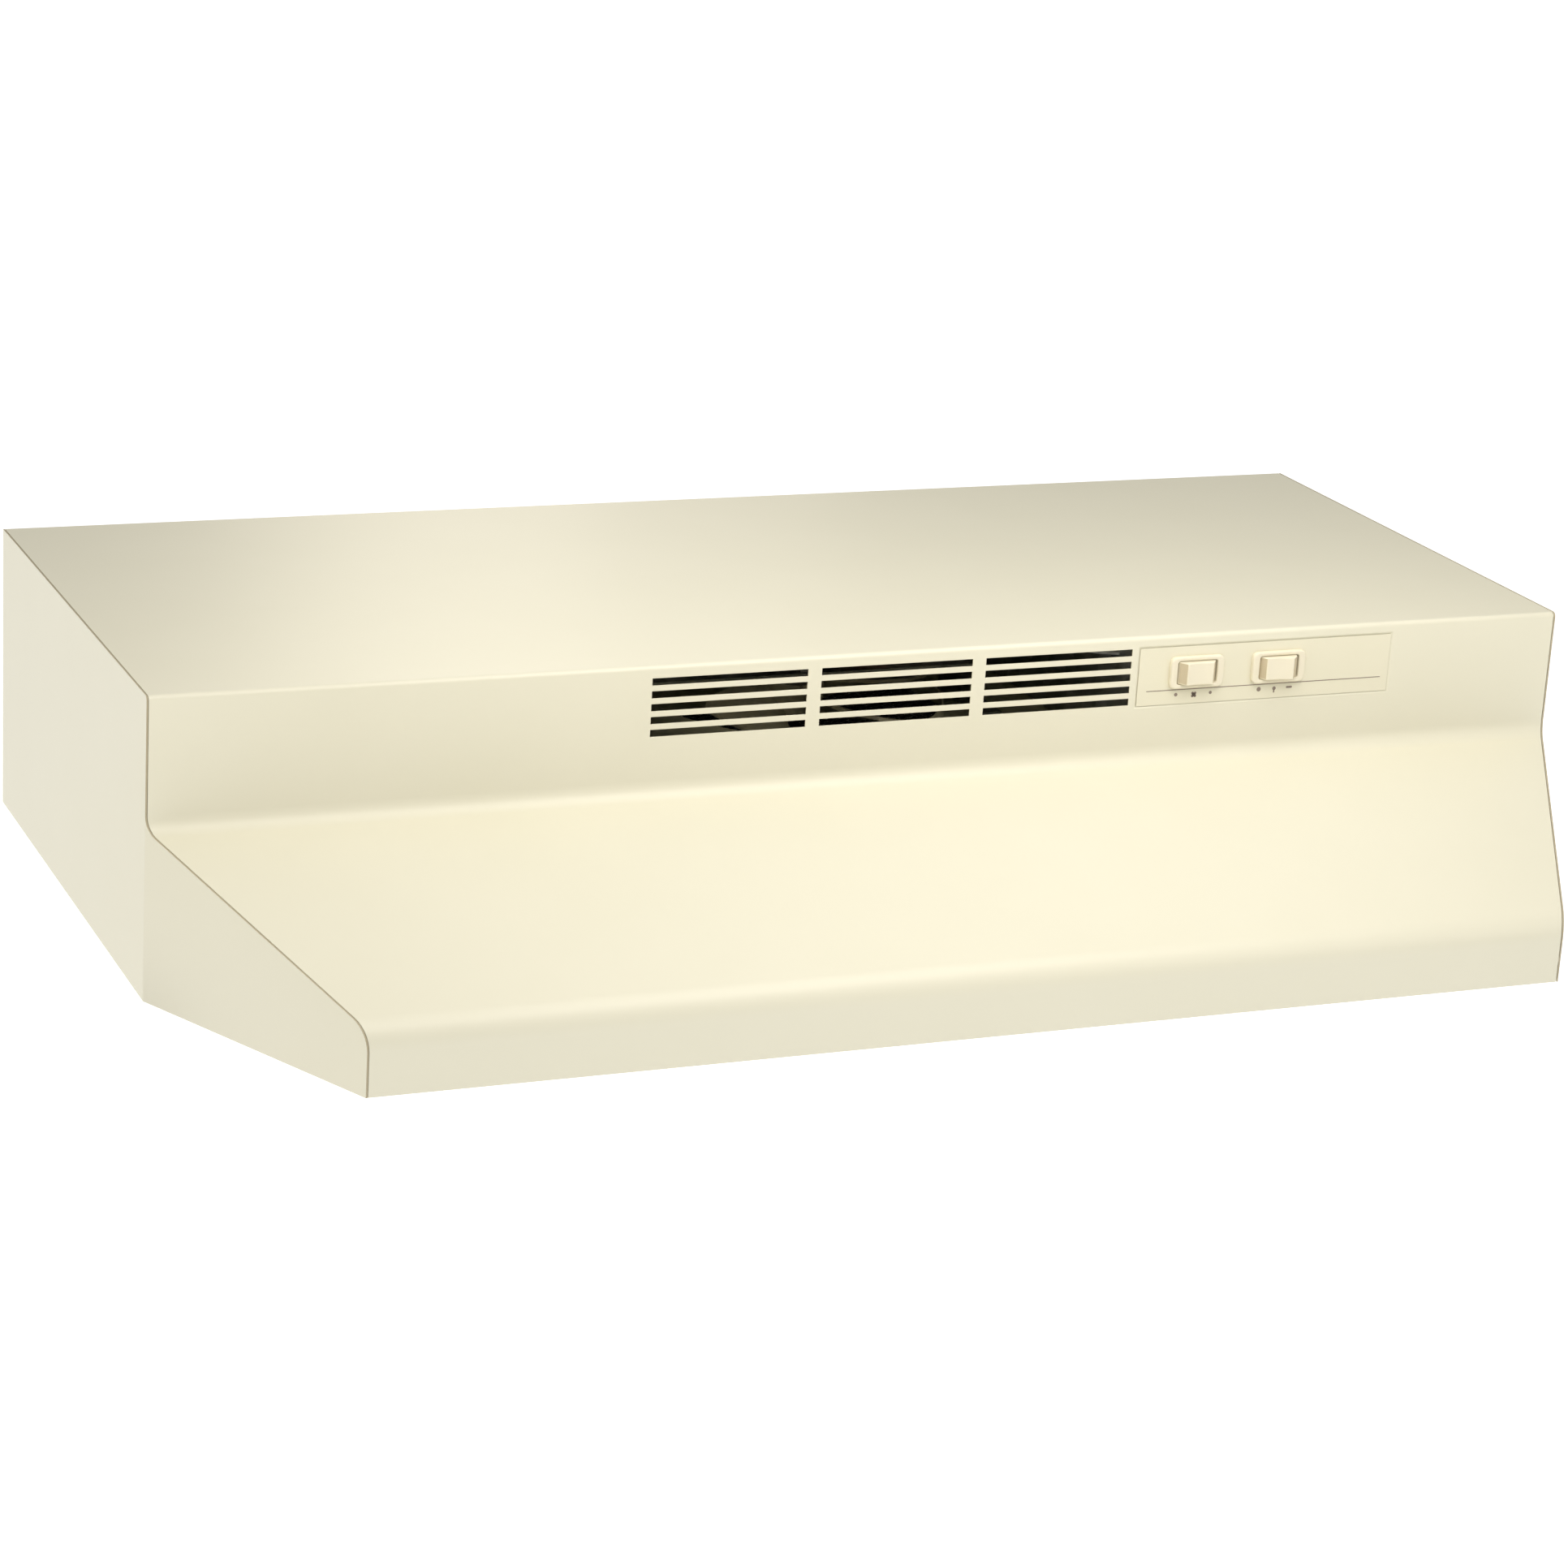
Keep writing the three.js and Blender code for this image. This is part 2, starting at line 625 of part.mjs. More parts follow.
const fanPivot = [FAN.x, FAN.y, (HUB.z0 + HUB.z1) / 2];
const rotor = ring("z", SHAFT_R + GAP, CORE.bore - 0.5, CORE.z0, CORE.z1, FAN.x, FAN.y, 24);
piece("rotor", rotor, steel, fanPivot);
piece("motor_shaft", bar("z", SHAFT_R, -73.5, -4.5, FAN.x, FAN.y, 16), steel, fanPivot);
piece("fan_blade", fan(), almondPlastic, fanPivot);
piece("blade_clip", ring("z", SHAFT_R + GAP, 6.5, -72.6, -70.4, FAN.x, FAN.y, 16), steel, fanPivot);

// ---- Filter --------------------------------------------------------------

// The filter hangs on the rail's lip, so that line is its pivot.
const filterPivot = [0, RAIL.lipY, FILTER.z0];

// A rim of folded aluminium with its channel facing in.
function filterFrame() {
  const { half, y0, y1, z0, z1, rim, skin } = FILTER;
  return box(-half, half, y0, y1, z0, z1)
    .subtract(box(-half + rim, half - rim, y0 + rim, y1 - rim, z0 - 1, z1 + 1))
    .subtract(box(-half + skin, half - skin, y0 + skin, y1 - skin, z0 + skin, z1 - skin));
}

function filterLayer(z0, z1) {
  const inset = FILTER.skin + GAP;
  return box(
    -FILTER.half + inset, FILTER.half - inset, FILTER.y0 + inset, FILTER.y1 - inset, z0, z1,
  );
}

function filterPullTab() {
  const y = FILTER.y0 + 2;
  const top = FILTER.z0 - GAP;
  const fixed = box(-12, 12, y, y + 10, top - SHEET, top);
  const pull = box(-12, 12, y - SHEET, y, top - 13, top);
  return fixed.add(pull);
}

// A Z-shaped rail whose lip carries the filter's back edge.
function filterRail() {
  const top = PLATE.z0 - GAP;
  const lip = FILTER.z0 - GAP;
  const { half, lipY, webY, flangeY } = RAIL;
  return joined([
    box(-half, half, webY, flangeY, top - SHEET, top),
    box(-half, half, webY, webY + SHEET, lip - SHEET, top),
    box(-half, half, lipY, webY + SHEET, lip - SHEET, lip),
  ]).subtract(screwHoles(RAIL_SCREWS, top - 2, top + 1));
}

// A spring leaf that grips the filter's front edge, with a turned out tip.
function filterClip(x) {
  const top = PLATE.z0 - GAP;
  const y = FILTER.y0 - 0.7;
  const thick = 0.6;
  const tip = FILTER.z0 - 5;
  return joined([
    box(x - CLIP_HALF, x + CLIP_HALF, y - 13, y, top - thick, top),
    box(x - CLIP_HALF, x + CLIP_HALF, y - thick, y, tip, top),
    box(x - CLIP_HALF, x + CLIP_HALF, y - 6, y, tip - thick, tip),
  ]);
}

const pack = FILTER.z0 + FILTER.skin + GAP;
piece("filter_frame", filterFrame(), aluminium, filterPivot);
piece("filter_grease_mesh", filterLayer(pack, pack + 2.2), aluminium, filterPivot);
piece("filter_charcoal_pad", filterLayer(pack + 2.5, pack + 5.2), carbon, filterPivot);
piece("filter_back_mesh", filterLayer(pack + 5.5, pack + 7.7), aluminium, filterPivot);
piece("filter_pull_tab", filterPullTab(), aluminium, filterPivot);
piece("filter_rail", filterRail(), galvanised);
piece("filter_clip_left", filterClip(-CLIP_X), steel);
piece("filter_clip_right", filterClip(CLIP_X), steel);
RAIL_SCREWS.forEach(([x, y], i) => {
  piece(`rail_screw_${i + 1}`, screwUp(x, y, PLATE.z0 - 2 * GAP - SHEET, PLATE.z0 + 6), steel);
});

// ---- Lamp ----------------------------------------------------------------

function lampHousing() {
  const { x0, x1, y0, y1, z0, z1 } = LAMP;
  return openBox(x0, x1, y0, y1, z0, z1, SHEET).subtract(
    bar("x", LEAD_HOLE_R, x1 - 2, x1 + 1, LAMP_LEADS.y, LAMP_LEADS.z, 16),
  );
}

// A shallow tray under the housing, with two tabs that snap inside it.
function lightLens() {
  const { margin, z0, z1, wall } = LENS;
  const [x0, x1] = [LAMP.x0 - margin, LAMP.x1 + margin];
  const [y0, y1] = [LAMP.y0 - margin, LAMP.y1 + margin];
  const tray = box(x0, x1, y0, y1, z0, z1).subtract(
    box(x0 + wall, x1 - wall, y0 + wall, y1 - wall, z0 + wall, z1 + 1),
  );
  const tabs = [LAMP.y0 + SHEET + 0.4, LAMP.y1 - SHEET - 0.4 - 1.4].map((y) =>
    box(LAMP_X - 12, LAMP_X + 12, y, y + 1.4, z0 + 1, -62),
  );
  return joined([tray, ...tabs]);
}

function socketBracket() {
  const y = SOCKET.y1 + GAP;
  const top = LAMP.z1 - SHEET - GAP;
  return box(LAMP_X - 18, LAMP_X + 18, y, y + 1.2, -56, top).add(
    box(LAMP_X - 18, LAMP_X + 18, y - 12, y + 1.2, top - 1.2, top),
  );
}

// A porcelain cup with a brass screw shell inside it.
function lampSocket() {
  const { r, y0, y1 } = SOCKET;
  return ring("y", 15, r, y0, y1 - 4, LAMP_X, LAMP.axisZ, 24).add(
    bar("y", r, y1 - 4.5, y1, LAMP_X, LAMP.axisZ, 24),
  );
}

function socketShell() {
  return ring("y", 13.9, 14.7, SOCKET.y0 + 2, SOCKET.y1 - 6, LAMP_X, LAMP.axisZ, 24);
}

// The glass of a 60 mm bulb, open at its neck. Pairs are radius and distance from the neck.
function bulbGlass() {
  const neck = SOCKET.y0 + 1.5;
  const outer = [
    [12, 0], [12.5, 8], [15, 20], [20.5, 32], [26.5, 42], [29.6, 52],
    [29.6, 62], [26.5, 72], [20, 80], [11, 85.5], [0, 87.5],
  ];
  const inner = outer.map(([r, d], i) => {
    if (i === 0) return [r - 1, d];
    return i === outer.length - 1 ? [0, d - 1] : [Math.max(r - 1, 0), d - 0.4];
  });
  const loop = [...outer, ...inner.reverse(), outer[0]].map(([r, d]) => [r, neck - d]);
  return turnedAboutY(loop, LAMP_X, LAMP.axisZ, 20);
}

function bulbBase() {
  const [y0, y1] = [SOCKET.y0 + 1.8, SOCKET.y1 - 7.2];
  return bar("y", 13.2, y0, y1 - 4, LAMP_X, LAMP.axisZ, 20).add(
    bar("y", 4.5, y1 - 5, y1, LAMP_X, LAMP.axisZ, 20),
  );
}

piece("lamp_housing", lampHousing(), galvanised);
piece("socket_bracket", socketBracket(), galvanised);
piece("lamp_socket", lampSocket(), porcelain);
piece("socket_shell", socketShell(), brass);
piece("bulb_glass", bulbGlass(), frosted);
piece("bulb_base", bulbBase(), aluminium);
piece("light_lens", lightLens(), lensPlastic);

// ---- Controls ------------------------------------------------------------

// A printed film in the recess, round both switches.
function controlLabel() {
  const y = FACE + RECESS.deep - GAP;
  return box(
    RECESS.x0 + LABEL_INSET, RECESS.x1 - LABEL_INSET, y - 0.3, y,
    RECESS.z0 + LABEL_INSET, RECESS.z1 - LABEL_INSET,
  )
    .subtract(switchHole(SWITCH.fanX, 0.8))
    .subtract(switchHole(SWITCH.lightX, 0.8));
}

// A snap-in switch: bezel, body, rocker well and three terminals.
function switchBody(x) {
  const seat = FACE + RECESS.deep - 2 * GAP - 0.3;
  const front = FACE - SWITCH.proud;
  const z = SWITCH.z;
  const bezel = box(
    x - SWITCH.bezelWide / 2, x + SWITCH.bezelWide / 2, front, seat,
    z - SWITCH.bezelHigh / 2, z + SWITCH.bezelHigh / 2,
  );
  const back = seat + SWITCH_BODY.deep;
  const body = box(
    x - SWITCH_BODY.wide / 2, x + SWITCH_BODY.wide / 2, seat - 1, back,
    z - SWITCH_BODY.high / 2, z + SWITCH_BODY.high / 2,
  );
  const well = box(
    x - WELL.wide / 2, x + WELL.wide / 2, front - 1, front + WELL.deep,
    z - WELL.high / 2, z + WELL.high / 2,
  );
  const terminals = [-8, 0, 8].map((dx) =>
    box(x + dx - 0.4, x + dx + 0.4, back - 1, back + 8, z - 3.1, z + 3.1),
  );
  return joined([bezel, body, ...terminals]).subtract(well);
}

// A rocker seen from above: sloping ends and a slightly hollow crown. It turns about a vertical pin.
function switchRocker(x, tilt) {
  const { high, base, crown, rise, hollow, shoulder, sink, taper } = ROCKER;
  const across = [[-base, shoulder], [taper - base, -sink], [base - taper, -sink], [base, shoulder]];
  const steps = 6;
  for (let k = 0; k <= steps; k++) {
    const share = 1 - (2 * k) / steps;
    across.push([crown * share, rise - hollow * (1 - share ** 2)]);
  }
  const turn = THREE.MathUtils.degToRad(tilt);
  const plan = across.map(([u, out]) => [
    x + u * Math.cos(turn) - out * Math.sin(turn),
    ROCKER_PIVOT - (u * Math.sin(turn) + out * Math.cos(turn)),
  ]);
  return alongZ(plan, SWITCH.z - high / 2, SWITCH.z + high / 2);
}

piece("control_label", controlLabel(), labelFilm);
piece("fan_switch_body", switchBody(SWITCH.fanX), almondPlastic);
piece("light_switch_body", switchBody(SWITCH.lightX), almondPlastic);
piece(
  "fan_switch_rocker", switchRocker(SWITCH.fanX, 0), almondPlastic,
  [SWITCH.fanX, ROCKER_PIVOT, SWITCH.z],
);
piece(
  "light_switch_rocker", switchRocker(SWITCH.lightX, LIGHT_REST_TILT), almondPlastic,
  [SWITCH.lightX, ROCKER_PIVOT, SWITCH.z],
);

// ---- Wiring --------------------------------------------------------------

const COVER_SCREW = [310, 91];

// A steel box in the corner, where the house wiring comes in at the back.
function wiringBox() {
  const { x0, x1, y0, y1, z0, z1 } = BOX;
  const tab = box(
    COVER_SCREW[0] - 7, COVER_SCREW[0] + 7, y0 + SHEET / 2, y0 + 13, z0 + 0.2, z0 + 0.2 + SHEET,
  );
  return openBox(x0, x1, y0, y1, z0, z1, SHEET)
    .add(tab)
    .subtract(bar("y", KNOCKOUT.r + 0.6, y1 - 2, y1 + 1, KNOCKOUT.x, KNOCKOUT.z, 24))
    .subtract(box(258, 285, y0 - 1, y0 + 2, -41, -9))
    .subtract(screwHoles([COVER_SCREW], z0 - 1, z0 + 3))
    .subtract(bar("x", HOLE_R, x1 - 2, x1 + 1, 115, -25, 12));
}

function wiringBoxCover() {
  const { x0, x1, y0, y1, z0 } = BOX;
  const top = z0 - GAP;
  const sheet = box(x0, x1, y0, y1 - 0.2, top - SHEET, top);
  const inner = SHEET + GAP;
  const turned = [x0 + inner, x1 - inner - SHEET].map((x) =>
    box(x, x + SHEET, y0 + 3, y1 - 3, top - SHEET / 2, top + 8),
  );
  return joined([sheet, ...turned]).subtract(screwHoles([COVER_SCREW], top - 2, top + 1));
}

// A bent cover over the switch terminals and the leads that run back to the box.
function wireCover() {
  const { x0, x1, arm, y0, knee, y1, z0, z1 } = COVER;
  const plan = [[x0, y0], [x1, y0], [x1, y1], [arm, y1], [arm, knee], [x0, knee]];
  const t = SHEET;
  const space = [
    [x0 + t, y0 - 1], [x1 - t, y0 - 1], [x1 - t, y1 + 1],
    [arm + t, y1 + 1], [arm + t, knee - t], [x0 + t, knee - t],
  ];
  return alongZ(plan, z0, z1)
    .subtract(alongZ(space, z0 + t, z1 + 1))
    .subtract(bar("x", LEAD_HOLE_R, x0 - 1, x0 + 2, MOTOR_LEADS.y, MOTOR_LEADS.z, 16))
    .subtract(bar("x", LEAD_HOLE_R, arm - 1, arm + 2, LAMP_LEADS.y, LAMP_LEADS.z, 16));
}

// An insulated lead along a smooth line through its points.
function lead(points, steps) {
  const line = new THREE.CatmullRomCurve3(points.map((p) => new THREE.Vector3(...p)), false, "centripetal");
  const section = new THREE.Shape();
  section.absarc(0, 0, LEAD_R, 0, 2 * Math.PI);
  const geometry = new THREE.ExtrudeGeometry(section, {
    steps, extrudePath: line, curveSegments: 4, bevelEnabled: false,
  });
  return solid(geometry);
}

const groundScrew = bar("x", 4.2, BOX.x1 - SHEET - GAP - 3, BOX.x1 - SHEET - GAP, 115, -25, 6).add(
  bar("x", SCREW.shank, BOX.x1 - 3, BOX.x1 + 4, 115, -25, 12),
);

piece("wiring_box", wiringBox(), galvanised);
piece("wiring_box_cover", wiringBoxCover(), galvanised);
piece("wiring_cover_screw", screwUp(...COVER_SCREW, BOX.z0 - 2 * GAP - SHEET, BOX.z0 + 6), steel);
piece("ground_screw", groundScrew, greenSteel);
piece("wire_cover", wireCover(), galvanised);

// Leads run from the switches, motor and lamp to two twist-on connectors in the box.
const TERMINAL_END = FACE + RECESS.deep + SWITCH_BODY.deep + 8;
const NUT_Y = 104;
const NUTS = { black: [276, -17], white: [265, -33] };

function twistConnector([x, z]) {
  return turnedAboutY(
    [[0, NUT_Y + GAP], [6.2, NUT_Y + GAP], [5.6, NUT_Y + 8], [3.6, NUT_Y + 18], [0, NUT_Y + 19]],
    x, z, 12,
  );
}

piece("black_wire_connector", twistConnector(NUTS.black), nutPlastic);
piece("white_wire_connector", twistConnector(NUTS.white), nutPlastic);
piece(
  "fan_switch_lead",
  lead([
    [167.8, TERMINAL_END, -20], [169, -113, -20.5], [180, -110, -24], [215, -108, -31], [262, -106, -32],
    [274, -92, -30], [276, 0, -26], [275, 70, -21], [274, 90, -19], [274, NUT_Y, -19],
  ], 34),
  blackWire,
);
piece(
  "light_switch_lead",
  lead([
    [215.2, TERMINAL_END, -20], [216, -113, -19], [226, -109, -14], [262, -109, -14],
    [281, -92, -14], [284, 0, -14], [280, 70, -15], [278, 90, -15], [278, NUT_Y, -15],
  ], 30),
  blackWire,
);
piece(
  "motor_supply_lead",
  lead([
    [159.8, TERMINAL_END, -20], [158.5, -114, -18], [152, -110.4, -16.5], [141.4, -110.2, -16],
    [126, -106, -10], [100, -80, -7], [72, -36, -10], [60, -17, -19], [51.6, -16, -20],
  ], 22),
  redWire,
);
piece(
  "motor_return_lead",
  lead([
    [51.6, -25, -26], [60, -26, -26], [72, -50, -20], [102, -90, -16], [126, -111, -18],
    [141.4, -113.2, -19.6], [155, -112, -20.5], [161, -107, -28], [176, -102, -38], [262, -99, -40],
    [267, -80, -40], [266, 20, -38], [264, 70, -36], [263, 90, -35], [263, NUT_Y, -35],
  ], 52),
  whiteWire,
);
piece(
  "lamp_supply_lead",
  lead([
    [223.2, TERMINAL_END, -20], [225, -113, -22], [236, -109, -25], [256, -106, -25],
    [262, -94, -22], [262, 20, -14], [258.5, 48, -12], [249, 53.8, -12], [222, 52, -12],
    [204, 52, -12], [LAMP_X, 52, -16.5], [LAMP_X, 52, -19.4],
  ], 34),
  redWire,
);
piece(
  "lamp_return_lead",
  lead([
    [LAMP_X, 61, -19.4], [LAMP_X, 61, -16.5], [204, 61, -12], [222, 60, -12], [250, 58.2, -12.6],
    [258, 61, -14], [265, 74, -24], [267, 90, -30.8], [267, NUT_Y, -31],
  ], 20),
  whiteWire,
);

export default hood;
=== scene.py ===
import math

import bmesh
import bpy
from mathutils import Matrix, Quaternion, Vector


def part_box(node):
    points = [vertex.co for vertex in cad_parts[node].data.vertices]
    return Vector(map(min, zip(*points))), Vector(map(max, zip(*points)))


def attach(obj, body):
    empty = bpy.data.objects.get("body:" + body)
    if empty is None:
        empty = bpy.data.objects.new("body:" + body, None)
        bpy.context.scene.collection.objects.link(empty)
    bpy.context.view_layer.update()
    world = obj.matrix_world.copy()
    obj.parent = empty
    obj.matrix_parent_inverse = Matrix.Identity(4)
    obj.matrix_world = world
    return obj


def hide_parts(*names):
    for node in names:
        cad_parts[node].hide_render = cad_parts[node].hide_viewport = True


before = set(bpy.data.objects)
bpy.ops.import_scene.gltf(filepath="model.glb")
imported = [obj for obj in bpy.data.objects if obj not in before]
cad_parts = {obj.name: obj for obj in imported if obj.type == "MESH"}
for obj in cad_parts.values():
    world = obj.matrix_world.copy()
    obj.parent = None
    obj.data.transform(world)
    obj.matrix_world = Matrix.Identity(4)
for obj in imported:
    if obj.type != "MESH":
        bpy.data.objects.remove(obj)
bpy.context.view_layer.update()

MM = 0.001

# ---- Camera ------------------------------------------------------------------
# A long lens about 2.3 m from the hood, above its left front corner and turned
# a little, so that the hood's far end rises.

camera = bpy.data.objects.new("camera", bpy.data.cameras.new("camera"))
camera.data.lens = 97.54
camera.data.sensor_width = 36
azimuth, elevation, roll = (math.radians(a) for a in (-23.373, 17.979, 3.503))
away = Vector((
    math.sin(azimuth) * math.cos(elevation),
    -math.cos(azimuth) * math.cos(elevation),
    math.sin(elevation),
))
camera.rotation_mode = "QUATERNION"
camera.location = (-0.8526, -1.991, 0.585)
camera.rotation_quaternion = (-away).to_track_quat("-Z", "Y") @ Quaternion((0, 0, 1), roll)
bpy.context.scene.collection.objects.link(camera)
bpy.context.scene.camera = camera
bpy.context.scene.view_settings.view_transform = "Standard"

# ---- Studio ------------------------------------------------------------------
# A white sweep half a metre below the hood, which hangs as it does under its
# cabinet. The sweep is clear from below, so that the underside can be seen.


def linear(hex_colour):
    """An sRGB hex colour as the linear colour that a shader takes."""
    parts = [int(hex_colour[i:i + 2], 16) / 255 for i in (0, 2, 4)]
    return [c / 12.92 if c <= 0.04045 else ((c + 0.055) / 1.055) ** 2.4 for c in parts] + [1]


def add_node(tree, kind, settings=(), links=()):
    """Adds a node with its own properties and its inputs' values (settings) and what feeds them (links)."""
    node = tree.nodes.new(kind)
    for name, value in dict(settings).items():
        if isinstance(name, str) and hasattr(node, name):
            setattr(node, name, value)
        else:
            node.inputs[name].default_value = value
    for name, source in dict(links).items():
        tree.links.new(source, node.inputs[name])
    return node


def new_tree(name):
    """A new material with an empty node tree."""
    material = bpy.data.materials.new(name)
    material.use_nodes = True
    material.node_tree.nodes.clear()
    return material, material.node_tree


sweep_paint, tree = new_tree("matt_white_paper")
paper = add_node(tree, "ShaderNodeBsdfPrincipled", {
    "Base Color": linear("f7f7f5"), "Roughness": 0.9,
    "Emission Color": linear("ffffff"), "Emission Strength": 0.64,
})
clear = add_node(tree, "ShaderNodeBsdfTransparent")
side = add_node(tree, "ShaderNodeNewGeometry")
both = add_node(tree, "ShaderNodeMixShader", links={
    0: side.outputs["Backfacing"], 1: paper.outputs[0], 2: clear.outputs[0],
})
add_node(tree, "ShaderNodeOutputMaterial", links={"Surface": both.outputs[0]})

sweep_mesh = bpy.data.meshes.new("sweep")
shape = bmesh.new()
bmesh.ops.create_grid(shape, x_segments=8, y_segments=8, size=20)
shape.to_mesh(sweep_mesh)
sweep_mesh.materials.append(sweep_paint)
sweep = bpy.data.objects.new("sweep", sweep_mesh)
sweep.location = (0, 0, -0.55)
bpy.context.scene.collection.objects.link(sweep)

# A sky that is white overhead and dark near the horizon, as under one large ceiling diffuser.
# A plain pale backdrop stands before it wherever it is seen directly.
world = bpy.data.worlds.new("studio")
world.use_nodes = True
tree = world.node_tree
tree.nodes.clear()
upwards = add_node(tree, "ShaderNodeTexCoord").outputs["Generated"]
height = add_node(tree, "ShaderNodeSeparateXYZ", links={"Vector": upwards}).outputs["Z"]
level = add_node(
    tree, "ShaderNodeMapRange", {"From Min": 0.2, "From Max": 0.7, "To Max": 0.737}, {"Value": height},
)
seen = add_node(tree, "ShaderNodeLightPath").outputs["Is Camera Ray"]
shown = add_node(tree, "ShaderNodeMix", {"data_type": "FLOAT", 3: 1.0}, {0: seen, 2: level.outputs[0]})
sky = add_node(tree, "ShaderNodeBackground", {"Color": linear("ffffff")}, {"Strength": shown.outputs[0]})
add_node(tree, "ShaderNodeOutputWorld", links={"Surface": sky.outputs[0]})
bpy.context.scene.world = world


def soft_box(name, place, target, size, watts, colour):
    """A rectangular studio light that points at target, and isn't itself in the picture."""
    light = bpy.data.lights.new(name, "AREA")
    light.shape = "RECTANGLE"
    light.size, light.size_y = size
    light.energy = watts
    light.color = linear(colour)[:3]
    lamp = bpy.data.objects.new(name, light)
    lamp.location = place
    lamp.rotation_euler = (Vector(target) - Vector(place)).to_track_quat("-Z", "Y").to_euler()
    lamp.visible_camera = False
    bpy.context.scene.collection.objects.link(lamp)


# Two warm ones behind the hood, whose glow lies across the middle of its top, three close
# over and before it, and two large ones that fill the left end and the right of the front.
soft_box("back_box", (0.55, 1.8, 0.5), (-0.05, 0, 0), (0.5, 0.5), 0.97, "fff7e4")
soft_box("back_strip", (0.4, 1.85, 0.5), (-0.1, 0, 0), (0.35, 0.5), 1.0, "fff7e4")
soft_box("left_over_box", (-0.35, -0.35, 0.45), (-0.2, -0.1, 0), (0.4, 0.4), 0.36, "fffaf0")
soft_box("right_over_box", (0.15, -0.35, 0.45), (0.1, -0.1, 0), (0.4, 0.4), 1.5, "fffaf0")
soft_box("front_over_box", (-0.05, -0.6, 0.5), (0, -0.2, -0.1), (0.8, 0.25), 1.42, "fffaf0")
soft_box("left_fill", (-2.6, -0.6, 0.6), (-0.3, -0.1, -0.1), (1.2, 1.2), 9.4, "fff6e2")
soft_box("right_fill", (1.8, -2.0, 1.0), (0.1, -0.2, -0.1), (1.2, 1.0), 5.5, "fffaf0")

# ---- Shell -------------------------------------------------------------------
# The wrap, ends and back are 0.8 mm steel, cut, punched and bent, then coated
# with almond enamel and baked. The ends are spot welded inside the wrap.


def mottled_finish(name, colour, shade, roughness, metallic, patch_mm, grain_mm, depth_mm, gloss_swing=0.04):
    """A finish whose colour drifts between two hex values, with a fine grain in its height and gloss."""
    material, tree = new_tree(name)
    place = add_node(tree, "ShaderNodeTexCoord").outputs["Object"]
    patches = add_node(
        tree, "ShaderNodeTexNoise", {"Scale": 1 / (patch_mm * MM), "Detail": 3}, {"Vector": place},
    )
    grain = add_node(
        tree, "ShaderNodeTexNoise", {"Scale": 1 / (grain_mm * MM), "Detail": 2}, {"Vector": place},
    )
    tint = add_node(
        tree, "ShaderNodeMix", {"data_type": "RGBA", 6: linear(shade), 7: linear(colour)},
        {0: patches.outputs["Fac"]},
    )
    gloss = add_node(
        tree, "ShaderNodeMapRange",
        {"To Min": roughness - gloss_swing, "To Max": roughness + gloss_swing},
        {"Value": grain.outputs["Fac"]},
    )
    height = add_node(
        tree, "ShaderNodeBump", {"Strength": 1, "Distance": depth_mm * MM}, {"Height": grain.outputs["Fac"]},
    )
    shader = add_node(
        tree, "ShaderNodeBsdfPrincipled", {"Metallic": metallic},
        {"Base Color": tint.outputs[2], "Roughness": gloss.outputs[0], "Normal": height.outputs[0]},
    )
    add_node(tree, "ShaderNodeOutputMaterial", links={"Surface": shader.outputs[0]})
    return material, shader


# Baked enamel: satin, with orange peel about 1.5 mm across that is just felt.
baked_enamel, enamel_shader = mottled_finish(
    "baked_almond_enamel", "e4e0cc", "e1ddc8",
    roughness=0.42, metallic=0, patch_mm=60, grain_mm=1.5, depth_mm=0.006,
)
enamel_shader.inputs["Coat Weight"].default_value = 0.1
enamel_shader.inputs["Coat Roughness"].default_value = 0.25


def cleaned(node):
    """The mesh of a CAD node with its shared corners joined and its flat faces whole."""
    shape = bmesh.new()
    shape.from_mesh(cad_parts[node].data)
    bmesh.ops.remove_doubles(shape, verts=shape.verts, dist=0.002 * MM)
    bmesh.ops.dissolve_limit(
        shape, angle_limit=math.radians(0.4), use_dissolve_boundaries=False,
        verts=shape.verts, edges=shape.edges,
    )
    return shape


def soften(shape, width_mm, segments=2, over_degrees=35):
    """Rounds the edges of a mesh that are sharper than an angle."""
    least = math.radians(over_degrees)
    sharp = [e for e in shape.edges if len(e.link_faces) == 2 and e.calc_face_angle(0) > least]
    bmesh.ops.bevel(
        shape, geom=sharp, offset=width_mm * MM, offset_type="OFFSET", segments=segments,
        profile=0.5, affect="EDGES", clamp_overlap=True,
    )


def add_piece(name, shape, material, body, slot, *nodes, smooth_degrees=32):
    """Makes a mesh into a piece that moves with a body and stands for CAD nodes."""
    bmesh.ops.recalc_face_normals(shape, faces=shape.faces)
    mesh = bpy.data.meshes.new(name)
    shape.to_mesh(mesh)
    shape.free()
    mesh.materials.append(material)
    mesh.shade_smooth()
    mesh.set_sharp_from_angle(angle=math.radians(smooth_degrees))
    piece = bpy.data.objects.new(name, mesh)
    bpy.context.scene.collection.objects.link(piece)
    weight = piece.modifiers.new("even_flats", "WEIGHTED_NORMAL")
    weight.keep_sharp = True
    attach(piece, body)
    if nodes:
        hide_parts(*nodes)
    return piece


# A darker brown painted on the cut edges where the wrap meets the ends: painted shade that deepens the seam
# lines.
painted_seam_shade, _ = mottled_finish(
    "painted_seam_shadow_on_cut_edges", "b6ab90", "aca085",
    roughness=0.5, metallic=0, patch_mm=25, grain_mm=1.5, depth_mm=0.004,
)


def paint(shape, material_index, chosen):
    """Gives a mesh's faces one of its materials where chosen(normal, centre) holds."""
    for face in shape.faces:
        if chosen(face.normal, face.calc_center_median()):
            face.material_index = material_index


RECESS_RAISE = 0.35  # how much shallower the recess is drawn than it is in the solid, in mm


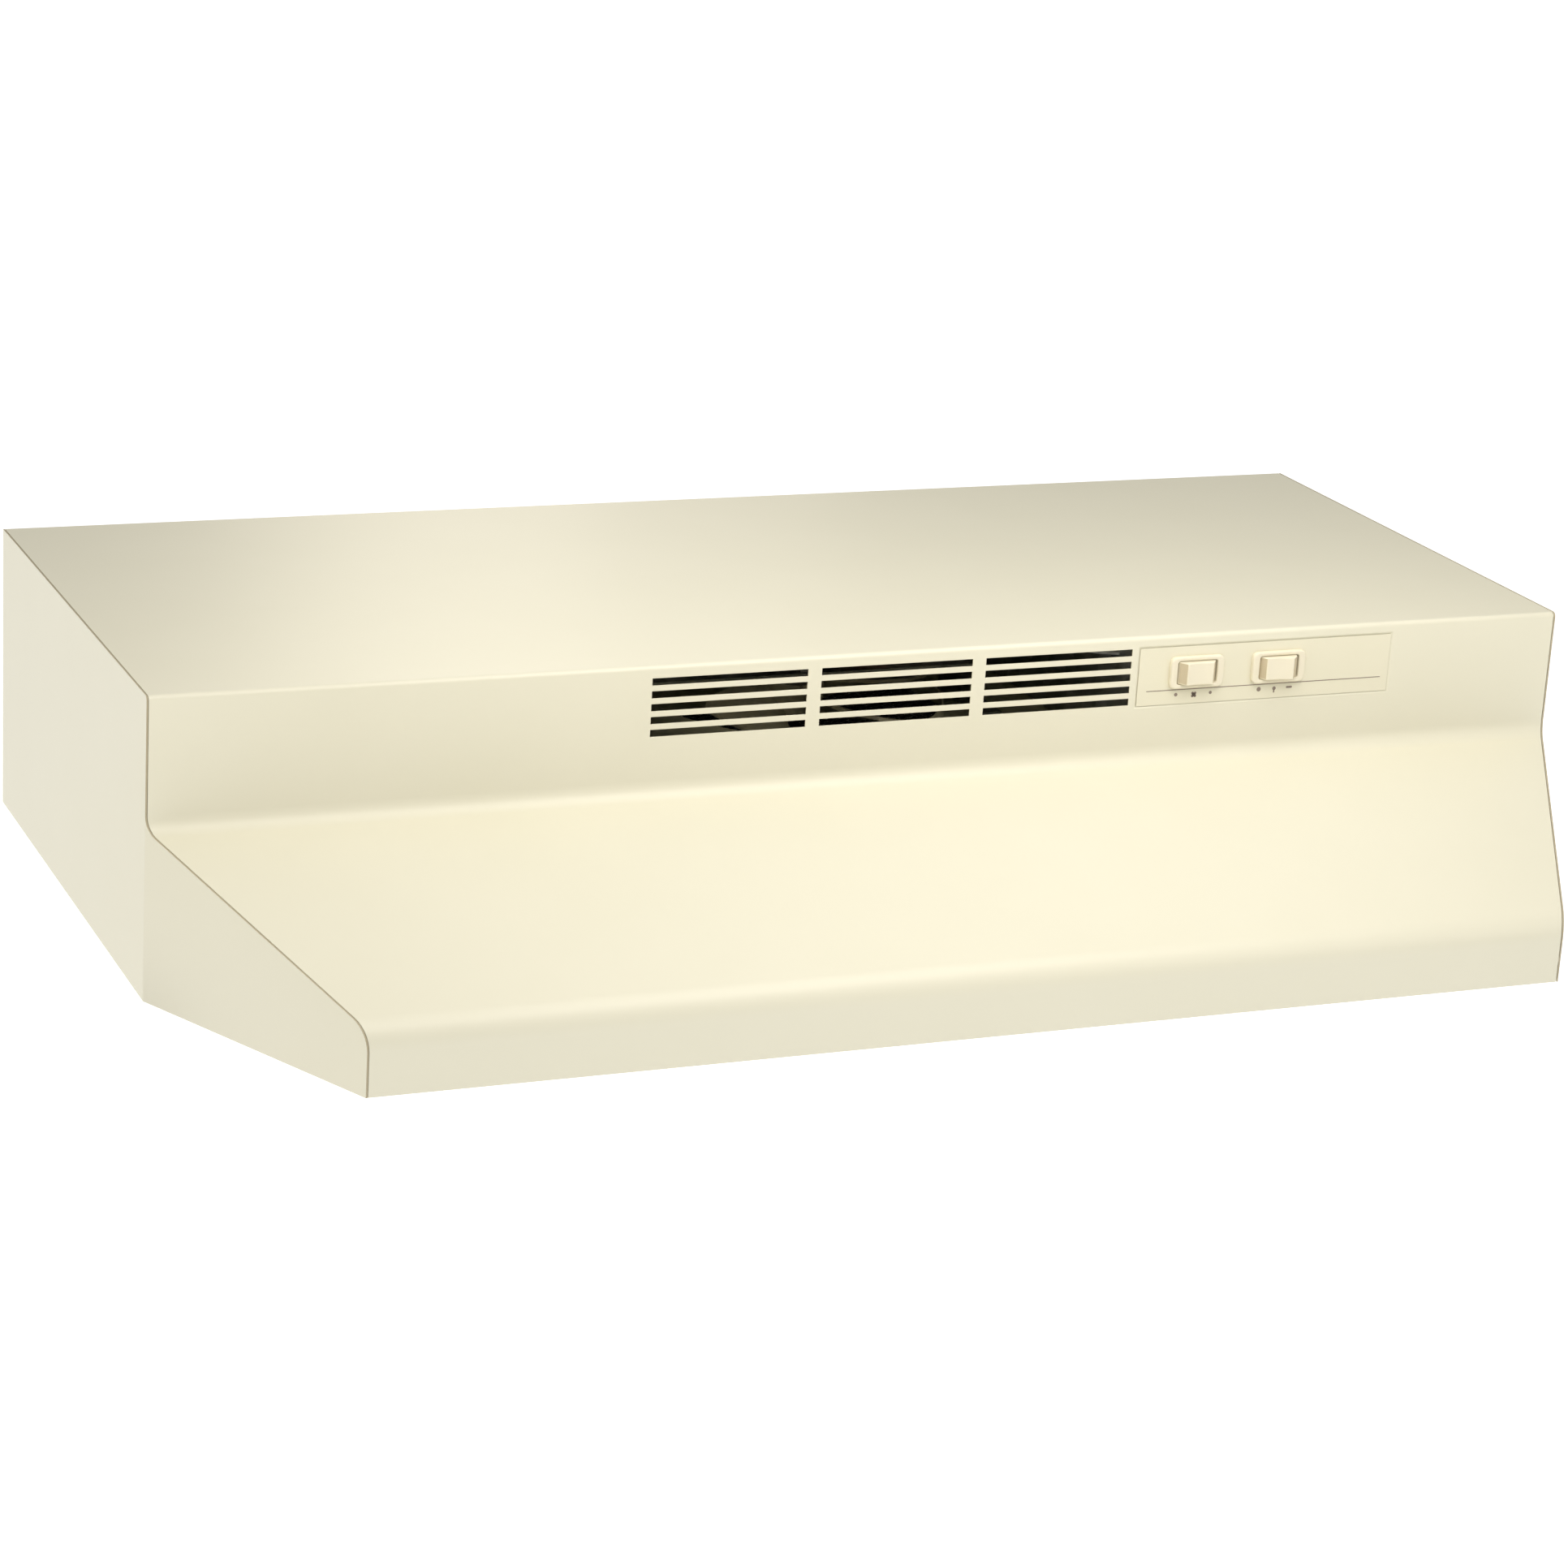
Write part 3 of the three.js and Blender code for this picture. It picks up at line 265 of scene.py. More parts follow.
def ease_recess(shape):
    """Draws the pressed recess a little shallower, and rounds its edges as the press does."""
    low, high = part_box("control_label")
    floor_low, floor_high = low.y - 0.1 * MM, low.y + 1.8 * MM

    def near(vert, reach):
        return all(low[i] - reach * MM < vert.co[i] < high[i] + reach * MM for i in (0, 2))

    for vert in shape.verts:
        if near(vert, 2) and floor_low < vert.co.y < floor_high:
            vert.co.y -= RECESS_RAISE * MM
    gentle, steep = math.radians(20), math.radians(69)
    rims = [
        edge for edge in shape.edges
        if len(edge.link_faces) == 2 and gentle < edge.calc_face_angle(0) < steep
        and all(near(v, 2.5) and v.co.y < floor_high for v in edge.verts)
    ]
    bmesh.ops.bevel(
        shape, geom=rims, offset=0.35 * MM, offset_type="OFFSET", segments=3, profile=0.5,
        affect="EDGES", clamp_overlap=True,
    )


wrap = cleaned("hood_wrap")
ease_recess(wrap)
# The wrap's cut ends along the seams take the darker brown: painted seam shade.
paint(wrap, 1, lambda normal, centre: abs(normal.x) > 0.8)
soften(wrap, 0.15)
piece = add_piece("enamelled_hood_wrap", wrap, baked_enamel, "hood", "almond_enamel", "hood_wrap")
piece.data.materials.append(painted_seam_shade)

for node in ("left_end_panel", "right_end_panel"):
    sheet = cleaned(node)
    # The ends' rims that face up or lie toward the front take the darker brown: painted seam shade.
    paint(sheet, 1, lambda normal, centre: abs(normal.x) < 0.2 and (normal.z > 0.1 or centre.y < -0.14))
    soften(sheet, 0.15)
    piece = add_piece("enamelled_" + node, sheet, baked_enamel, "hood", "almond_enamel", node)
    piece.data.materials.append(painted_seam_shade)

sheet = cleaned("back_panel")
soften(sheet, 0.15)
add_piece("enamelled_back_panel", sheet, baked_enamel, "hood", "almond_enamel", "back_panel")

# ---- Fan chamber -------------------------------------------------------------
# Folded from galvanised sheet with spangles 8 mm across, like the brackets,
# filter rail, lamp housing and wiring box. Its floor, with the bell mouth, is
# enamelled like the shell because it shows.


def spangled_zinc(name, bright, dull, spangle_mm):
    """Hot dipped zinc: metal crystals, each with its own brightness and gloss."""
    material, tree = new_tree(name)
    place = add_node(tree, "ShaderNodeTexCoord").outputs["Object"]
    crystals = add_node(tree, "ShaderNodeTexVoronoi", {"Scale": 1 / (spangle_mm * MM)}, {"Vector": place})
    level = add_node(tree, "ShaderNodeSeparateColor", links={0: crystals.outputs["Color"]}).outputs[0]
    tint = add_node(
        tree, "ShaderNodeMix", {"data_type": "RGBA", 6: linear(dull), 7: linear(bright)}, {0: level},
    )
    gloss = add_node(tree, "ShaderNodeMapRange", {"To Min": 0.42, "To Max": 0.56}, {"Value": level})
    shader = add_node(
        tree, "ShaderNodeBsdfPrincipled", {"Metallic": 0.9},
        {"Base Color": tint.outputs[2], "Roughness": gloss.outputs[0]},
    )
    add_node(tree, "ShaderNodeOutputMaterial", links={"Surface": shader.outputs[0]})
    return material


galvanised = spangled_zinc("hot_dipped_zinc", "c9cbcc", "b4b7b8", 8)

for node in (
    "fan_chamber", "motor_bracket", "filter_rail", "lamp_housing", "socket_bracket",
    "wiring_box", "wiring_box_cover", "wire_cover",
):
    sheet = cleaned(node)
    soften(sheet, 0.12, segments=1)
    add_piece("zinc_" + node, sheet, galvanised, "hood", "galvanised_steel", node)

plate = cleaned("orifice_plate")
soften(plate, 0.12, segments=1, over_degrees=40)
add_piece("enamelled_orifice_plate", plate, baked_enamel, "hood", "almond_enamel", "orifice_plate")

# ---- Screws ------------------------------------------------------------------
# Thread forming screws, zinc plated, with a hexagon head on a washer flange.
# They go up into the chamber, the motor strap, the filter rail and the box.

zinc_plate, _ = mottled_finish(
    "bright_zinc_plate", "b9bcbe", "a2a5a8",
    roughness=0.32, metallic=0.95, patch_mm=4, grain_mm=0.4, depth_mm=0.002,
)


def circle(radius_mm, height_mm, sides=24, flats=None):
    """A ring of points in mm. With flats, it is a hexagon of that many sides, with as many points."""
    ring = []
    for i in range(sides):
        angle = 2 * math.pi * i / sides
        r = radius_mm
        if flats:
            step = 2 * math.pi / flats
            r = radius_mm * math.cos(step / 2) / math.cos((angle % step) - step / 2)
        ring.append(Vector((r * math.cos(angle), r * math.sin(angle), height_mm)))
    return ring


def loft(shape, rings, closed=False, turn=Matrix.Identity(4)):
    """Joins rings of points in mm, one after another, and caps the first and last unless they join up."""
    layers = [[shape.verts.new(turn @ (p * MM)) for p in ring] for ring in rings]
    pairs = list(zip(layers, layers[1:]))
    if closed:
        pairs.append((layers[-1], layers[0]))
    for low, high in pairs:
        for i in range(len(low)):
            j = (i + 1) % len(low)
            shape.faces.new((low[i], low[j], high[j], high[i]))
    if not closed:
        shape.faces.new(reversed(layers[0]))
        shape.faces.new(layers[-1])


def hex_screw(node, turn):
    """A screw along its node's longest side, built with its head down at height 0."""
    low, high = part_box(node)
    sizes = [(high[i] - low[i]) / MM for i in range(3)]
    length = max(sizes)
    flange = min(sizes) / 2
    # A dished hexagon 1.7 mm high and 0.72 of the flange wide, on a flange 0.5 mm thick.
    rings = [
        circle(flange * 0.3, 0.35), circle(flange * 0.52, 0.3),
        circle(flange * 0.62, 0, flats=6), circle(flange * 0.72, 0.3, flats=6),
        circle(flange * 0.72, 1.7, flats=6), circle(flange * 0.96, 1.75), circle(flange * 0.96, 2.2),
        circle(1.62, 2.3),
    ]
    root, crest, pitch = 1.3, 1.66, 0.7
    height = 2.6  # where the thread starts
    while height < length - 2.2:
        rings += [circle(root, height), circle(crest, height + pitch / 2)]
        height += pitch
    rings += [circle(1.2, length - 1.6), circle(0.25, length - 0.05)]
    shape = bmesh.new()
    loft(shape, rings, turn=turn)
    return shape


screws = [f"plate_screw_{i}" for i in (1, 2, 3, 4)] + ["bracket_screw_1", "bracket_screw_2"]
screws += ["rail_screw_1", "rail_screw_2", "wiring_cover_screw"]
for node in screws:
    low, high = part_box(node)
    foot = Matrix.Translation(((low.x + high.x) / 2, (low.y + high.y) / 2, low.z))
    add_piece("hex_" + node, hex_screw(node, foot), zinc_plate, "hood", "plain_steel", node)

# ---- Motor -------------------------------------------------------------------
# A shaded pole motor: a stack of varnished steel laminations, a coil of
# enamelled copper on one leg, and two die cast straps with bronze bearings.


WAVES_PER_SCALE = 0.314  # the wave texture's scale at which one band is one unit wide


def striped_finish(name, colour, shade, roughness, metallic, pitch_mm, axis, depth_mm):
    """A finish with fine parallel lines across one axis, from stacked sheets, brushing or drawing."""
    material, tree = new_tree(name)
    place = add_node(tree, "ShaderNodeTexCoord").outputs["Object"]
    lines = add_node(
        tree, "ShaderNodeTexWave",
        {
            "wave_type": "BANDS", "bands_direction": axis, "Scale": WAVES_PER_SCALE / (pitch_mm * MM),
            "Distortion": 0.6, "Detail": 2,
        },
        {"Vector": place},
    )
    tint = add_node(
        tree, "ShaderNodeMix", {"data_type": "RGBA", 6: linear(shade), 7: linear(colour)},
        {0: lines.outputs["Fac"]},
    )
    gloss = add_node(
        tree, "ShaderNodeMapRange", {"To Min": roughness + 0.06, "To Max": roughness - 0.04},
        {"Value": lines.outputs["Fac"]},
    )
    height = add_node(
        tree, "ShaderNodeBump", {"Strength": 1, "Distance": depth_mm * MM}, {"Height": lines.outputs["Fac"]},
    )
    shader = add_node(
        tree, "ShaderNodeBsdfPrincipled", {"Metallic": metallic},
        {"Base Color": tint.outputs[2], "Roughness": gloss.outputs[0], "Normal": height.outputs[0]},
    )
    add_node(tree, "ShaderNodeOutputMaterial", links={"Surface": shader.outputs[0]})
    return material


# 0.5 mm laminations, drawn at 1 mm so that they show.
laminations = striped_finish(
    "varnished_laminations", "74777b", "4a4c50",
    roughness=0.5, metallic=0.6, pitch_mm=1.0, axis="Z", depth_mm=0.05,
)
die_cast, _ = mottled_finish(
    "die_cast_zinc_alloy", "b4b6b8", "9c9ea1",
    roughness=0.45, metallic=0.9, patch_mm=9, grain_mm=0.8, depth_mm=0.01,
)
sintered, _ = mottled_finish(
    "sintered_bronze", "a8814b", "8c6a3c",
    roughness=0.5, metallic=0.9, patch_mm=2, grain_mm=0.3, depth_mm=0.006,
)
ground_steel = striped_finish(
    "ground_steel", "b0b3b6", "989b9f",
    roughness=0.28, metallic=1.0, pitch_mm=0.6, axis="Z", depth_mm=0.002,
)

for node, material, slot in (
    ("stator_core", laminations, "core_steel"),
    ("upper_bearing_bracket", die_cast, "aluminium"),
    ("lower_bearing_bracket", die_cast, "aluminium"),
    ("upper_bearing", sintered, "bronze"),
    ("lower_bearing", sintered, "bronze"),
    ("motor_bolt_1", zinc_plate, "plain_steel"),
    ("motor_bolt_2", zinc_plate, "plain_steel"),
):
    part = cleaned(node)
    soften(part, 0.2)
    add_piece("motor_" + node, part, material, "hood", slot, node)


def rounded_rectangle(width, depth, radius, steps=5):
    """Points in mm round a rectangle centred on 0, 0 with round corners."""
    ring = []
    for quarter, (sx, sy) in enumerate(((1, 1), (-1, 1), (-1, -1), (1, -1))):
        for k in range(steps + 1):
            angle = math.pi / 2 * (quarter + k / steps)
            ring.append(Vector((
                sx * (width / 2 - radius) + radius * math.cos(angle),
                sy * (depth / 2 - radius) + radius * math.sin(angle),
                0,
            )))
    return ring


# Wire 0.5 mm thick in the real coil, drawn as 1.2 mm turns so that they show.
copper, _ = mottled_finish(
    "enamelled_copper", "b9703c", "94522a",
    roughness=0.32, metallic=0.9, patch_mm=6, grain_mm=0.5, depth_mm=0.003,
)
low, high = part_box("stator_coil")
leg_low, leg_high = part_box("stator_core")
coil_size = [(high[i] - low[i]) / MM for i in (0, 2)]
# The coil's window stands 0.5 mm off the core's leg.
hole_x = (30.5, leg_high.x / MM + 0.5)
hole_z = (leg_low.z / MM - 0.5, leg_high.z / MM + 0.5)
centre_x, centre_z = (low.x + high.x) / 2 / MM, (low.z + high.z) / 2 / MM
rings = []
turns, groove = 15, 0.45
span = (high.y - low.y) / MM
for k in range(turns * 4 + 1):
    inset = groove * (1 - abs(math.sin(math.pi * k / 4)))
    along = low.y / MM + span * k / (turns * 4)
    rings.append([
        Vector((centre_x + p.x, along, centre_z + p.y))
        for p in rounded_rectangle(coil_size[0] - 2 * inset, coil_size[1] - 2 * inset, 4)
    ])
for along in (high.y / MM, low.y / MM):
    rings.append([
        Vector((sum(hole_x) / 2 + p.x, along, sum(hole_z) / 2 + p.y))
        for p in rounded_rectangle(hole_x[1] - hole_x[0], hole_z[1] - hole_z[0], 0.8)
    ])
coil = bmesh.new()
loft(coil, rings, closed=True)
add_piece("copper_winding", coil, copper, "hood", "copper_winding", "stator_coil")

# ---- Fan ---------------------------------------------------------------------
# The rotor and shaft turn in the motor, and the five bladed fan is moulded in
# one piece and held on the shaft by a spring clip.

blade_plastic, _ = mottled_finish(
    "moulded_fan_plastic", "e9e2cb", "e0d8be",
    roughness=0.42, metallic=0, patch_mm=20, grain_mm=0.7, depth_mm=0.01,
)
for node, material, slot in (
    ("rotor", laminations, "plain_steel"),
    ("motor_shaft", ground_steel, "plain_steel"),
    ("fan_blade", blade_plastic, "almond_plastic"),
    ("blade_clip", zinc_plate, "plain_steel"),
):
    part = cleaned(node)
    soften(part, 0.3, over_degrees=45)
    add_piece("turning_" + node, part, material, "fan", slot, node)

# ---- Filter ------------------------------------------------------------------
# A folded aluminium rim round two sheets of expanded foil and a charcoal pad.
# It rests on the rail at the back and two spring clips hold it at the front.

mill_aluminium = striped_finish(
    "mill_finish_aluminium", "d3d5d6", "c2c4c6",
    roughness=0.33, metallic=0.95, pitch_mm=0.9, axis="Y", depth_mm=0.003,
)
foil, _ = mottled_finish(
    "expanded_aluminium_foil", "d6d7d8", "bcbec0",
    roughness=0.28, metallic=0.95, patch_mm=7, grain_mm=0.6, depth_mm=0.004,
)
spring_steel = striped_finish(
    "blued_spring_steel", "9a9ea4", "80848a",
    roughness=0.3, metallic=1.0, pitch_mm=0.7, axis="X", depth_mm=0.002,
)


def expanded_sheet(shape, low, high, way_x, way_y, strand, shift, bottom, top):
    """Diamonds way_x by way_y mm in a foil, from zigzag ribbons that touch at their peaks."""
    columns = int((high.x - low.x) / MM / way_x * 2)
    rows = int((high.y - low.y) / MM / way_y * 2)
    twist, margin = 0.25, 0.3
    for row in range(rows):
        base = low.y / MM + (row + 0.5) * way_y / 2
        rings = []
        for column in range(columns + 1):
            x = low.x / MM + column * way_x / 2
            side = 1 if (row + column + shift) % 2 else -1
            y = base + side * (way_y / 4 - strand / 4)
            lean = twist * side
            rings.append([
                Vector((x, y - strand / 2, bottom + lean + margin)),
                Vector((x, y + strand / 2, bottom - lean + margin)),
                Vector((x, y + strand / 2, top - lean - margin)),
                Vector((x, y - strand / 2, top + lean - margin)),
            ])
        loft(shape, rings)


for node, half_row in (("filter_grease_mesh", 0), ("filter_back_mesh", 1)):
    low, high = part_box(node)
    bottom, top = low.z / MM, high.z / MM
    middle = (bottom + top) / 2
    foils = bmesh.new()
    diamond = {"way_x": 10, "way_y": 5.6, "strand": 1.0}
    expanded_sheet(foils, low, high, **diamond, shift=half_row, bottom=bottom, top=middle - 0.1)
    expanded_sheet(foils, low, high, **diamond, shift=1 - half_row, bottom=middle + 0.1, top=top)
    add_piece("foil_" + node, foils, foil, "filter", "aluminium", node, smooth_degrees=20)

for node in ("filter_frame", "filter_pull_tab"):
    part = cleaned(node)
    soften(part, 0.25, segments=3)
    add_piece("folded_" + node, part, mill_aluminium, "filter", "aluminium", node)

# Pressed charcoal granules about 1.5 mm across, with no gloss.
charcoal, _ = mottled_finish(
    "charcoal_granules", "26272b", "08080a",
    roughness=0.9, metallic=0, patch_mm=2, grain_mm=1.5, depth_mm=0.6, gloss_swing=0.08,
)
granules = cleaned("filter_charcoal_pad")
add_piece("pressed_charcoal_pad", granules, charcoal, "filter", "charcoal", "filter_charcoal_pad")

for node in ("filter_clip_left", "filter_clip_right"):
    part = cleaned(node)
    soften(part, 0.2, segments=3)
    add_piece("spring_" + node, part, spring_steel, "hood", "plain_steel", node)

# ---- Lamp --------------------------------------------------------------------
# A porcelain socket with a brass screw shell lies on its side in the housing.
# The bulb is frosted inside, and its base is rolled aluminium.

porcelain, _ = mottled_finish(
    "glazed_porcelain", "f4f2ec", "edebe3",
    roughness=0.12, metallic=0, patch_mm=15, grain_mm=3, depth_mm=0.01, gloss_swing=0.02,
)
rolled_brass, _ = mottled_finish(
    "rolled_brass", "cda852", "b8923f",
    roughness=0.25, metallic=1.0, patch_mm=5, grain_mm=0.5, depth_mm=0.002,
)
rolled_aluminium, _ = mottled_finish(
    "rolled_aluminium", "d5d6d8", "c3c5c8",
    roughness=0.24, metallic=1.0, patch_mm=5, grain_mm=0.5, depth_mm=0.002,
)


def on_lamp_axis(node):
    """Turns a loft built upwards from 0, in mm, to lie along -Y from the node's back."""
    low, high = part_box(node)
    place = Matrix.Translation(((low.x + high.x) / 2, high.y, (low.z + high.z) / 2))
    return place @ Matrix.Rotation(math.pi / 2, 4, "X")


socket = cleaned("lamp_socket")
soften(socket, 0.8, segments=3)
add_piece("porcelain_lamp_socket", socket, porcelain, "hood", "porcelain", "lamp_socket")
shell = cleaned("socket_shell")
soften(shell, 0.15)
add_piece("brass_socket_shell", shell, rolled_brass, "hood", "brass", "socket_shell")

# The base: a contact, an insulator cone and a rolled thread, drawn with a pitch of 3.2 mm.
CREST, THREAD_PITCH = 13.1, 3.2
low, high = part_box("bulb_base")
length = (high.y - low.y) / MM
rings = [circle(1.5, 0), circle(4.0, 0.5), circle(4.5, 1.4), circle(8.5, 4.2), circle(12.0, 4.8)]
thread = 5.2
while thread < length - 3:
    rings += [circle(12.2, thread), circle(CREST, thread + 0.9), circle(CREST, thread + 1.6)]
    rings.append(circle(12.3, thread + 2.6))
    thread += THREAD_PITCH
rings += [circle(13.0, length - 0.8), circle(12.6, length)]
base = bmesh.new()
loft(base, rings, turn=on_lamp_axis("bulb_base"))
add_piece("rolled_bulb_base", base, rolled_aluminium, "bulb", "aluminium", "bulb_base")

# Soda lime glass with a fine white frost on its inside.
frosted_glass, tree = new_tree("inside_frosted_glass")
place = add_node(tree, "ShaderNodeTexCoord").outputs["Object"]
frost = add_node(tree, "ShaderNodeTexNoise", {"Scale": 1 / (3 * MM), "Detail": 4}, {"Vector": place})
frost_gloss = add_node(
    tree, "ShaderNodeMapRange", {"To Min": 0.22, "To Max": 0.32}, {"Value": frost.outputs["Fac"]},
)
frost_tint = add_node(
    tree, "ShaderNodeMix", {"data_type": "RGBA", 6: linear("f4f3ee"), 7: linear("fbfaf6")},
    {0: frost.outputs["Fac"]},
)
glass = add_node(
    tree, "ShaderNodeBsdfPrincipled",
    {
        "Subsurface Weight": 0.3, "Subsurface Radius": (1, 1, 0.95), "Subsurface Scale": 0.004,
        "Coat Weight": 0.5,
    },
    {"Base Color": frost_tint.outputs[2], "Roughness": frost_gloss.outputs[0]},
)
add_node(tree, "ShaderNodeOutputMaterial", links={"Surface": glass.outputs[0]})

low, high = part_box("bulb_glass")
length, widest = (high.y - low.y) / MM, (high.x - low.x) / 2 / MM
neck = 12.2
rings = []
steps = 44
globe = length - widest
for k in range(steps + 1):
    along = (globe + widest) * math.sin(math.pi / 2 * k / steps) if k else 0
    if along <= globe:
        rise = along / globe
        r = neck + (widest - neck) * (3 * rise ** 2 - 2 * rise ** 3) ** 0.9
    else:
        r = math.sqrt(max(widest ** 2 - (along - globe) ** 2, 0.04))
    rings.append(circle(r, along, sides=48))
envelope = bmesh.new()
loft(envelope, rings, turn=on_lamp_axis("bulb_glass"))
add_piece(
    "frosted_bulb_glass", envelope, frosted_glass, "bulb", "bulb_glass", "bulb_glass", smooth_degrees=60,
)

# ---- Lens --------------------------------------------------------------------
# An opal tray moulded with prisms across its floor, which spread the light. Two
# tabs snap into the housing.

opal, opal_shader = mottled_finish(
    "opal_acrylic", "f7f7f1", "f1f1ea",
    roughness=0.25, metallic=0, patch_mm=25, grain_mm=2, depth_mm=0.006,
)
opal_shader.inputs["Subsurface Weight"].default_value = 0.5
opal_shader.inputs["Subsurface Scale"].default_value = 0.006
opal_shader.inputs["Subsurface Radius"].default_value = (1, 1, 0.95)
opal_shader.inputs["Transmission Weight"].default_value = 0.05

low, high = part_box("light_lens")
size_x, size_y = (high.x - low.x) / MM, (high.y - low.y) / MM
foot, rim, wall, corner = low.z / MM, -73.4, 2.0, 7
prism = 3.0
tray = bmesh.new()
rings = []


def tray_ring(inset, height, radius):
    return [
        Vector((p.x + (low.x + high.x) / 2 / MM, p.y + (low.y + high.y) / 2 / MM, height))
        for p in rounded_rectangle(size_x - 2 * inset, size_y - 2 * inset, radius)
    ]


# From the floor outwards, up the outside, over the rim and down to the floor inside.
rings += [tray_ring(3.2, foot + 0.5, corner - 2.4), tray_ring(1.4, foot + 1.1, corner - 1.2)]
rings += [tray_ring(0.35, foot + 2.4, corner - 0.3), tray_ring(0, foot + 4.5, corner)]
rings += [tray_ring(0, rim - 0.4, corner), tray_ring(0.4, rim, corner - 0.4)]
rings += [tray_ring(wall - 0.3, rim, corner - wall), tray_ring(wall, rim - 0.4, corner - wall)]
rings.append(tray_ring(wall, foot + wall + 1, corner - wall))
rings.append(tray_ring(wall + 1, foot + wall + 0.5, corner - wall - 1))
loft(tray, rings)
# The prisms lie under the floor, side by side, each with its point down.
count = int((size_y - 2 * corner) / prism)
ridge = ((0.1 - prism / 2, 0.52), (0, 0), (prism / 2 - 0.1, 0.52))
for k in range(count):
    y = (low.y + high.y) / 2 / MM + (k - (count - 1) / 2) * prism
    ends = [low.x / MM + corner, high.x / MM - corner]
    loft(tray, [
        [Vector((x, y + across, foot + height)) for across, height in ridge]
        for x in ends
    ])
# The snap tabs, 24 mm wide and tapered at the top, inside the housing's ends.
housing_low, housing_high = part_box("lamp_housing")
for y in (housing_low.y / MM + 1.2, housing_high.y / MM - 2.6):
    x = (low.x + high.x) / 2 / MM
    loft(tray, [
        [Vector((x + p.x, y + 0.7 + p.y, height)) for p in rounded_rectangle(24, 1.4, 0.5)]
        for height in (foot + wall, -63, -62)
    ])
add_piece("opal_light_lens", tray, opal, "lens", "lens_plastic", "light_lens")

# ---- Controls ----------------------------------------------------------------
# Two snap-in rocker switches stand in a shallow pressed recess, over a printed
# film. Their bezels and rockers are moulded in almond plastic.

film, _ = mottled_finish(
    "printed_polyester_film", "e6e1cb", "e3dec7",
    roughness=0.5, metallic=0, patch_mm=30, grain_mm=0.6, depth_mm=0.002,
)
FILM_REACH = 0.4  # how far the film's edges run into the recess's round corners, in mm
label = cleaned("control_label")
film_low, film_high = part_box("control_label")
for vert in label.verts:
    vert.co.y -= RECESS_RAISE * MM
    for i in (0, 2):
        if min(abs(vert.co[i] - film_low[i]), abs(vert.co[i] - film_high[i])) < 0.1 * MM:
            vert.co[i] += math.copysign(FILM_REACH * MM, vert.co[i] - (film_low[i] + film_high[i]) / 2)
add_piece("printed_control_label", label, film, "hood", "label_film", "control_label")

moulded, _ = mottled_finish(
    "moulded_almond_abs", "ebe4cf", "e7dfc8",
    roughness=0.38, metallic=0, patch_mm=12, grain_mm=0.5, depth_mm=0.004,
)

for node in ("fan_switch_body", "light_switch_body"):
    low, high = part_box(node)
    x, z = (low.x + high.x) / 2 / MM, (low.z + high.z) / 2 / MM
    wide, tall = (high.x - low.x) / MM, (high.z - low.z) / MM
    front, seat, back = low.y / MM, -151.9, -127.9
    collar = (26.6, 12.8)
    well = (22.6, 12.2)

    def bezel_ring(width, height, y, radius):
        return [Vector((x + p.x, y, z + p.y)) for p in rounded_rectangle(width, height, radius)]

    # From the collar's back, forwards round the bezel and down into the rocker's well.
    rings = [
        bezel_ring(*collar, back, 0.6),
        bezel_ring(*collar, seat, 0.6),
        bezel_ring(wide - 0.2, tall - 0.2, seat, 3.2),
        bezel_ring(wide, tall, seat - 0.3, 3.3),
        bezel_ring(wide, tall, front + 1.1, 3.3),
        bezel_ring(wide - 0.3, tall - 0.3, front + 0.55, 3.1),
        bezel_ring(wide - 1.0, tall - 1.0, front + 0.15, 2.8),
        bezel_ring(wide - 2.0, tall - 2.0, front, 2.4),
        bezel_ring(24.0, 13.6, front + 0.05, 1.8),
        bezel_ring(23.0, 12.6, front + 0.35, 1.4),
        bezel_ring(*well, front + 1.0, 1.1),
        bezel_ring(*well, front + 12.8, 1.1),
    ]
    switch = bmesh.new()
    loft(switch, rings)
    # Three blade terminals, 8 mm apart, out of the back.
    for dx in (-8, 0, 8):
        loft(switch, [
            [Vector((x + dx + p.x, y, z + p.y)) for p in rounded_rectangle(width, 6.2 - taper, 0.2, 2)]
            for y, width, taper in ((back - 0.4, 0.8, 0), (back + 6.8, 0.8, 0), (back + 7.9, 0.5, 2))
        ])
    add_piece("snap_in_" + node, switch, moulded, "hood", "almond_plastic", node)


def rocker(node, tilt_degrees):
    """A paddle seen in plan: sloping ends, a hollow crown between two lips, and rounded edges."""
    low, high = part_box(node)
    pivot_y = -149
    # Half widths, each with its distance forward of the pivot, and the crown's hollow.
    base, shoulder = 10.7, 4.2
    foot, sink = 8.9, -4.4
    crown, rise, hollow = 7.2, 8.9, 0.7
    x, z, tall = (low.x + high.x) / 2 / MM, (low.z + high.z) / 2 / MM, (high.z - low.z) / MM + 0.4
    plan = [(-base, shoulder), (-foot, sink), (foot, sink), (base, shoulder)]
    for k in range(13):
        u = crown - 2 * crown * k / 12
        plan.append((u, rise - hollow * (1 - (u / crown) ** 2)))
    turn = math.radians(tilt_degrees)
    c, s = math.cos(turn), math.sin(turn)
    spun = [(u * c - out * s, u * s + out * c) for u, out in plan]
    centre = (min(u for u, _ in spun) + max(u for u, _ in spun)) / 2
    shape = bmesh.new()
    loft(shape, [
        [Vector((x - centre + u, pivot_y - out, z + side * tall / 2)) for u, out in spun]
        for side in (-1, 1)
    ])
    bmesh.ops.recalc_face_normals(shape, faces=shape.faces)
    # The steep ends take the second, darker tan: painted shade, as if from the bezel's well.
    paint(shape, 1, lambda normal, centre: abs(normal.x) > 0.7)
    soften(shape, 0.6, segments=4, over_degrees=30)
    return shape
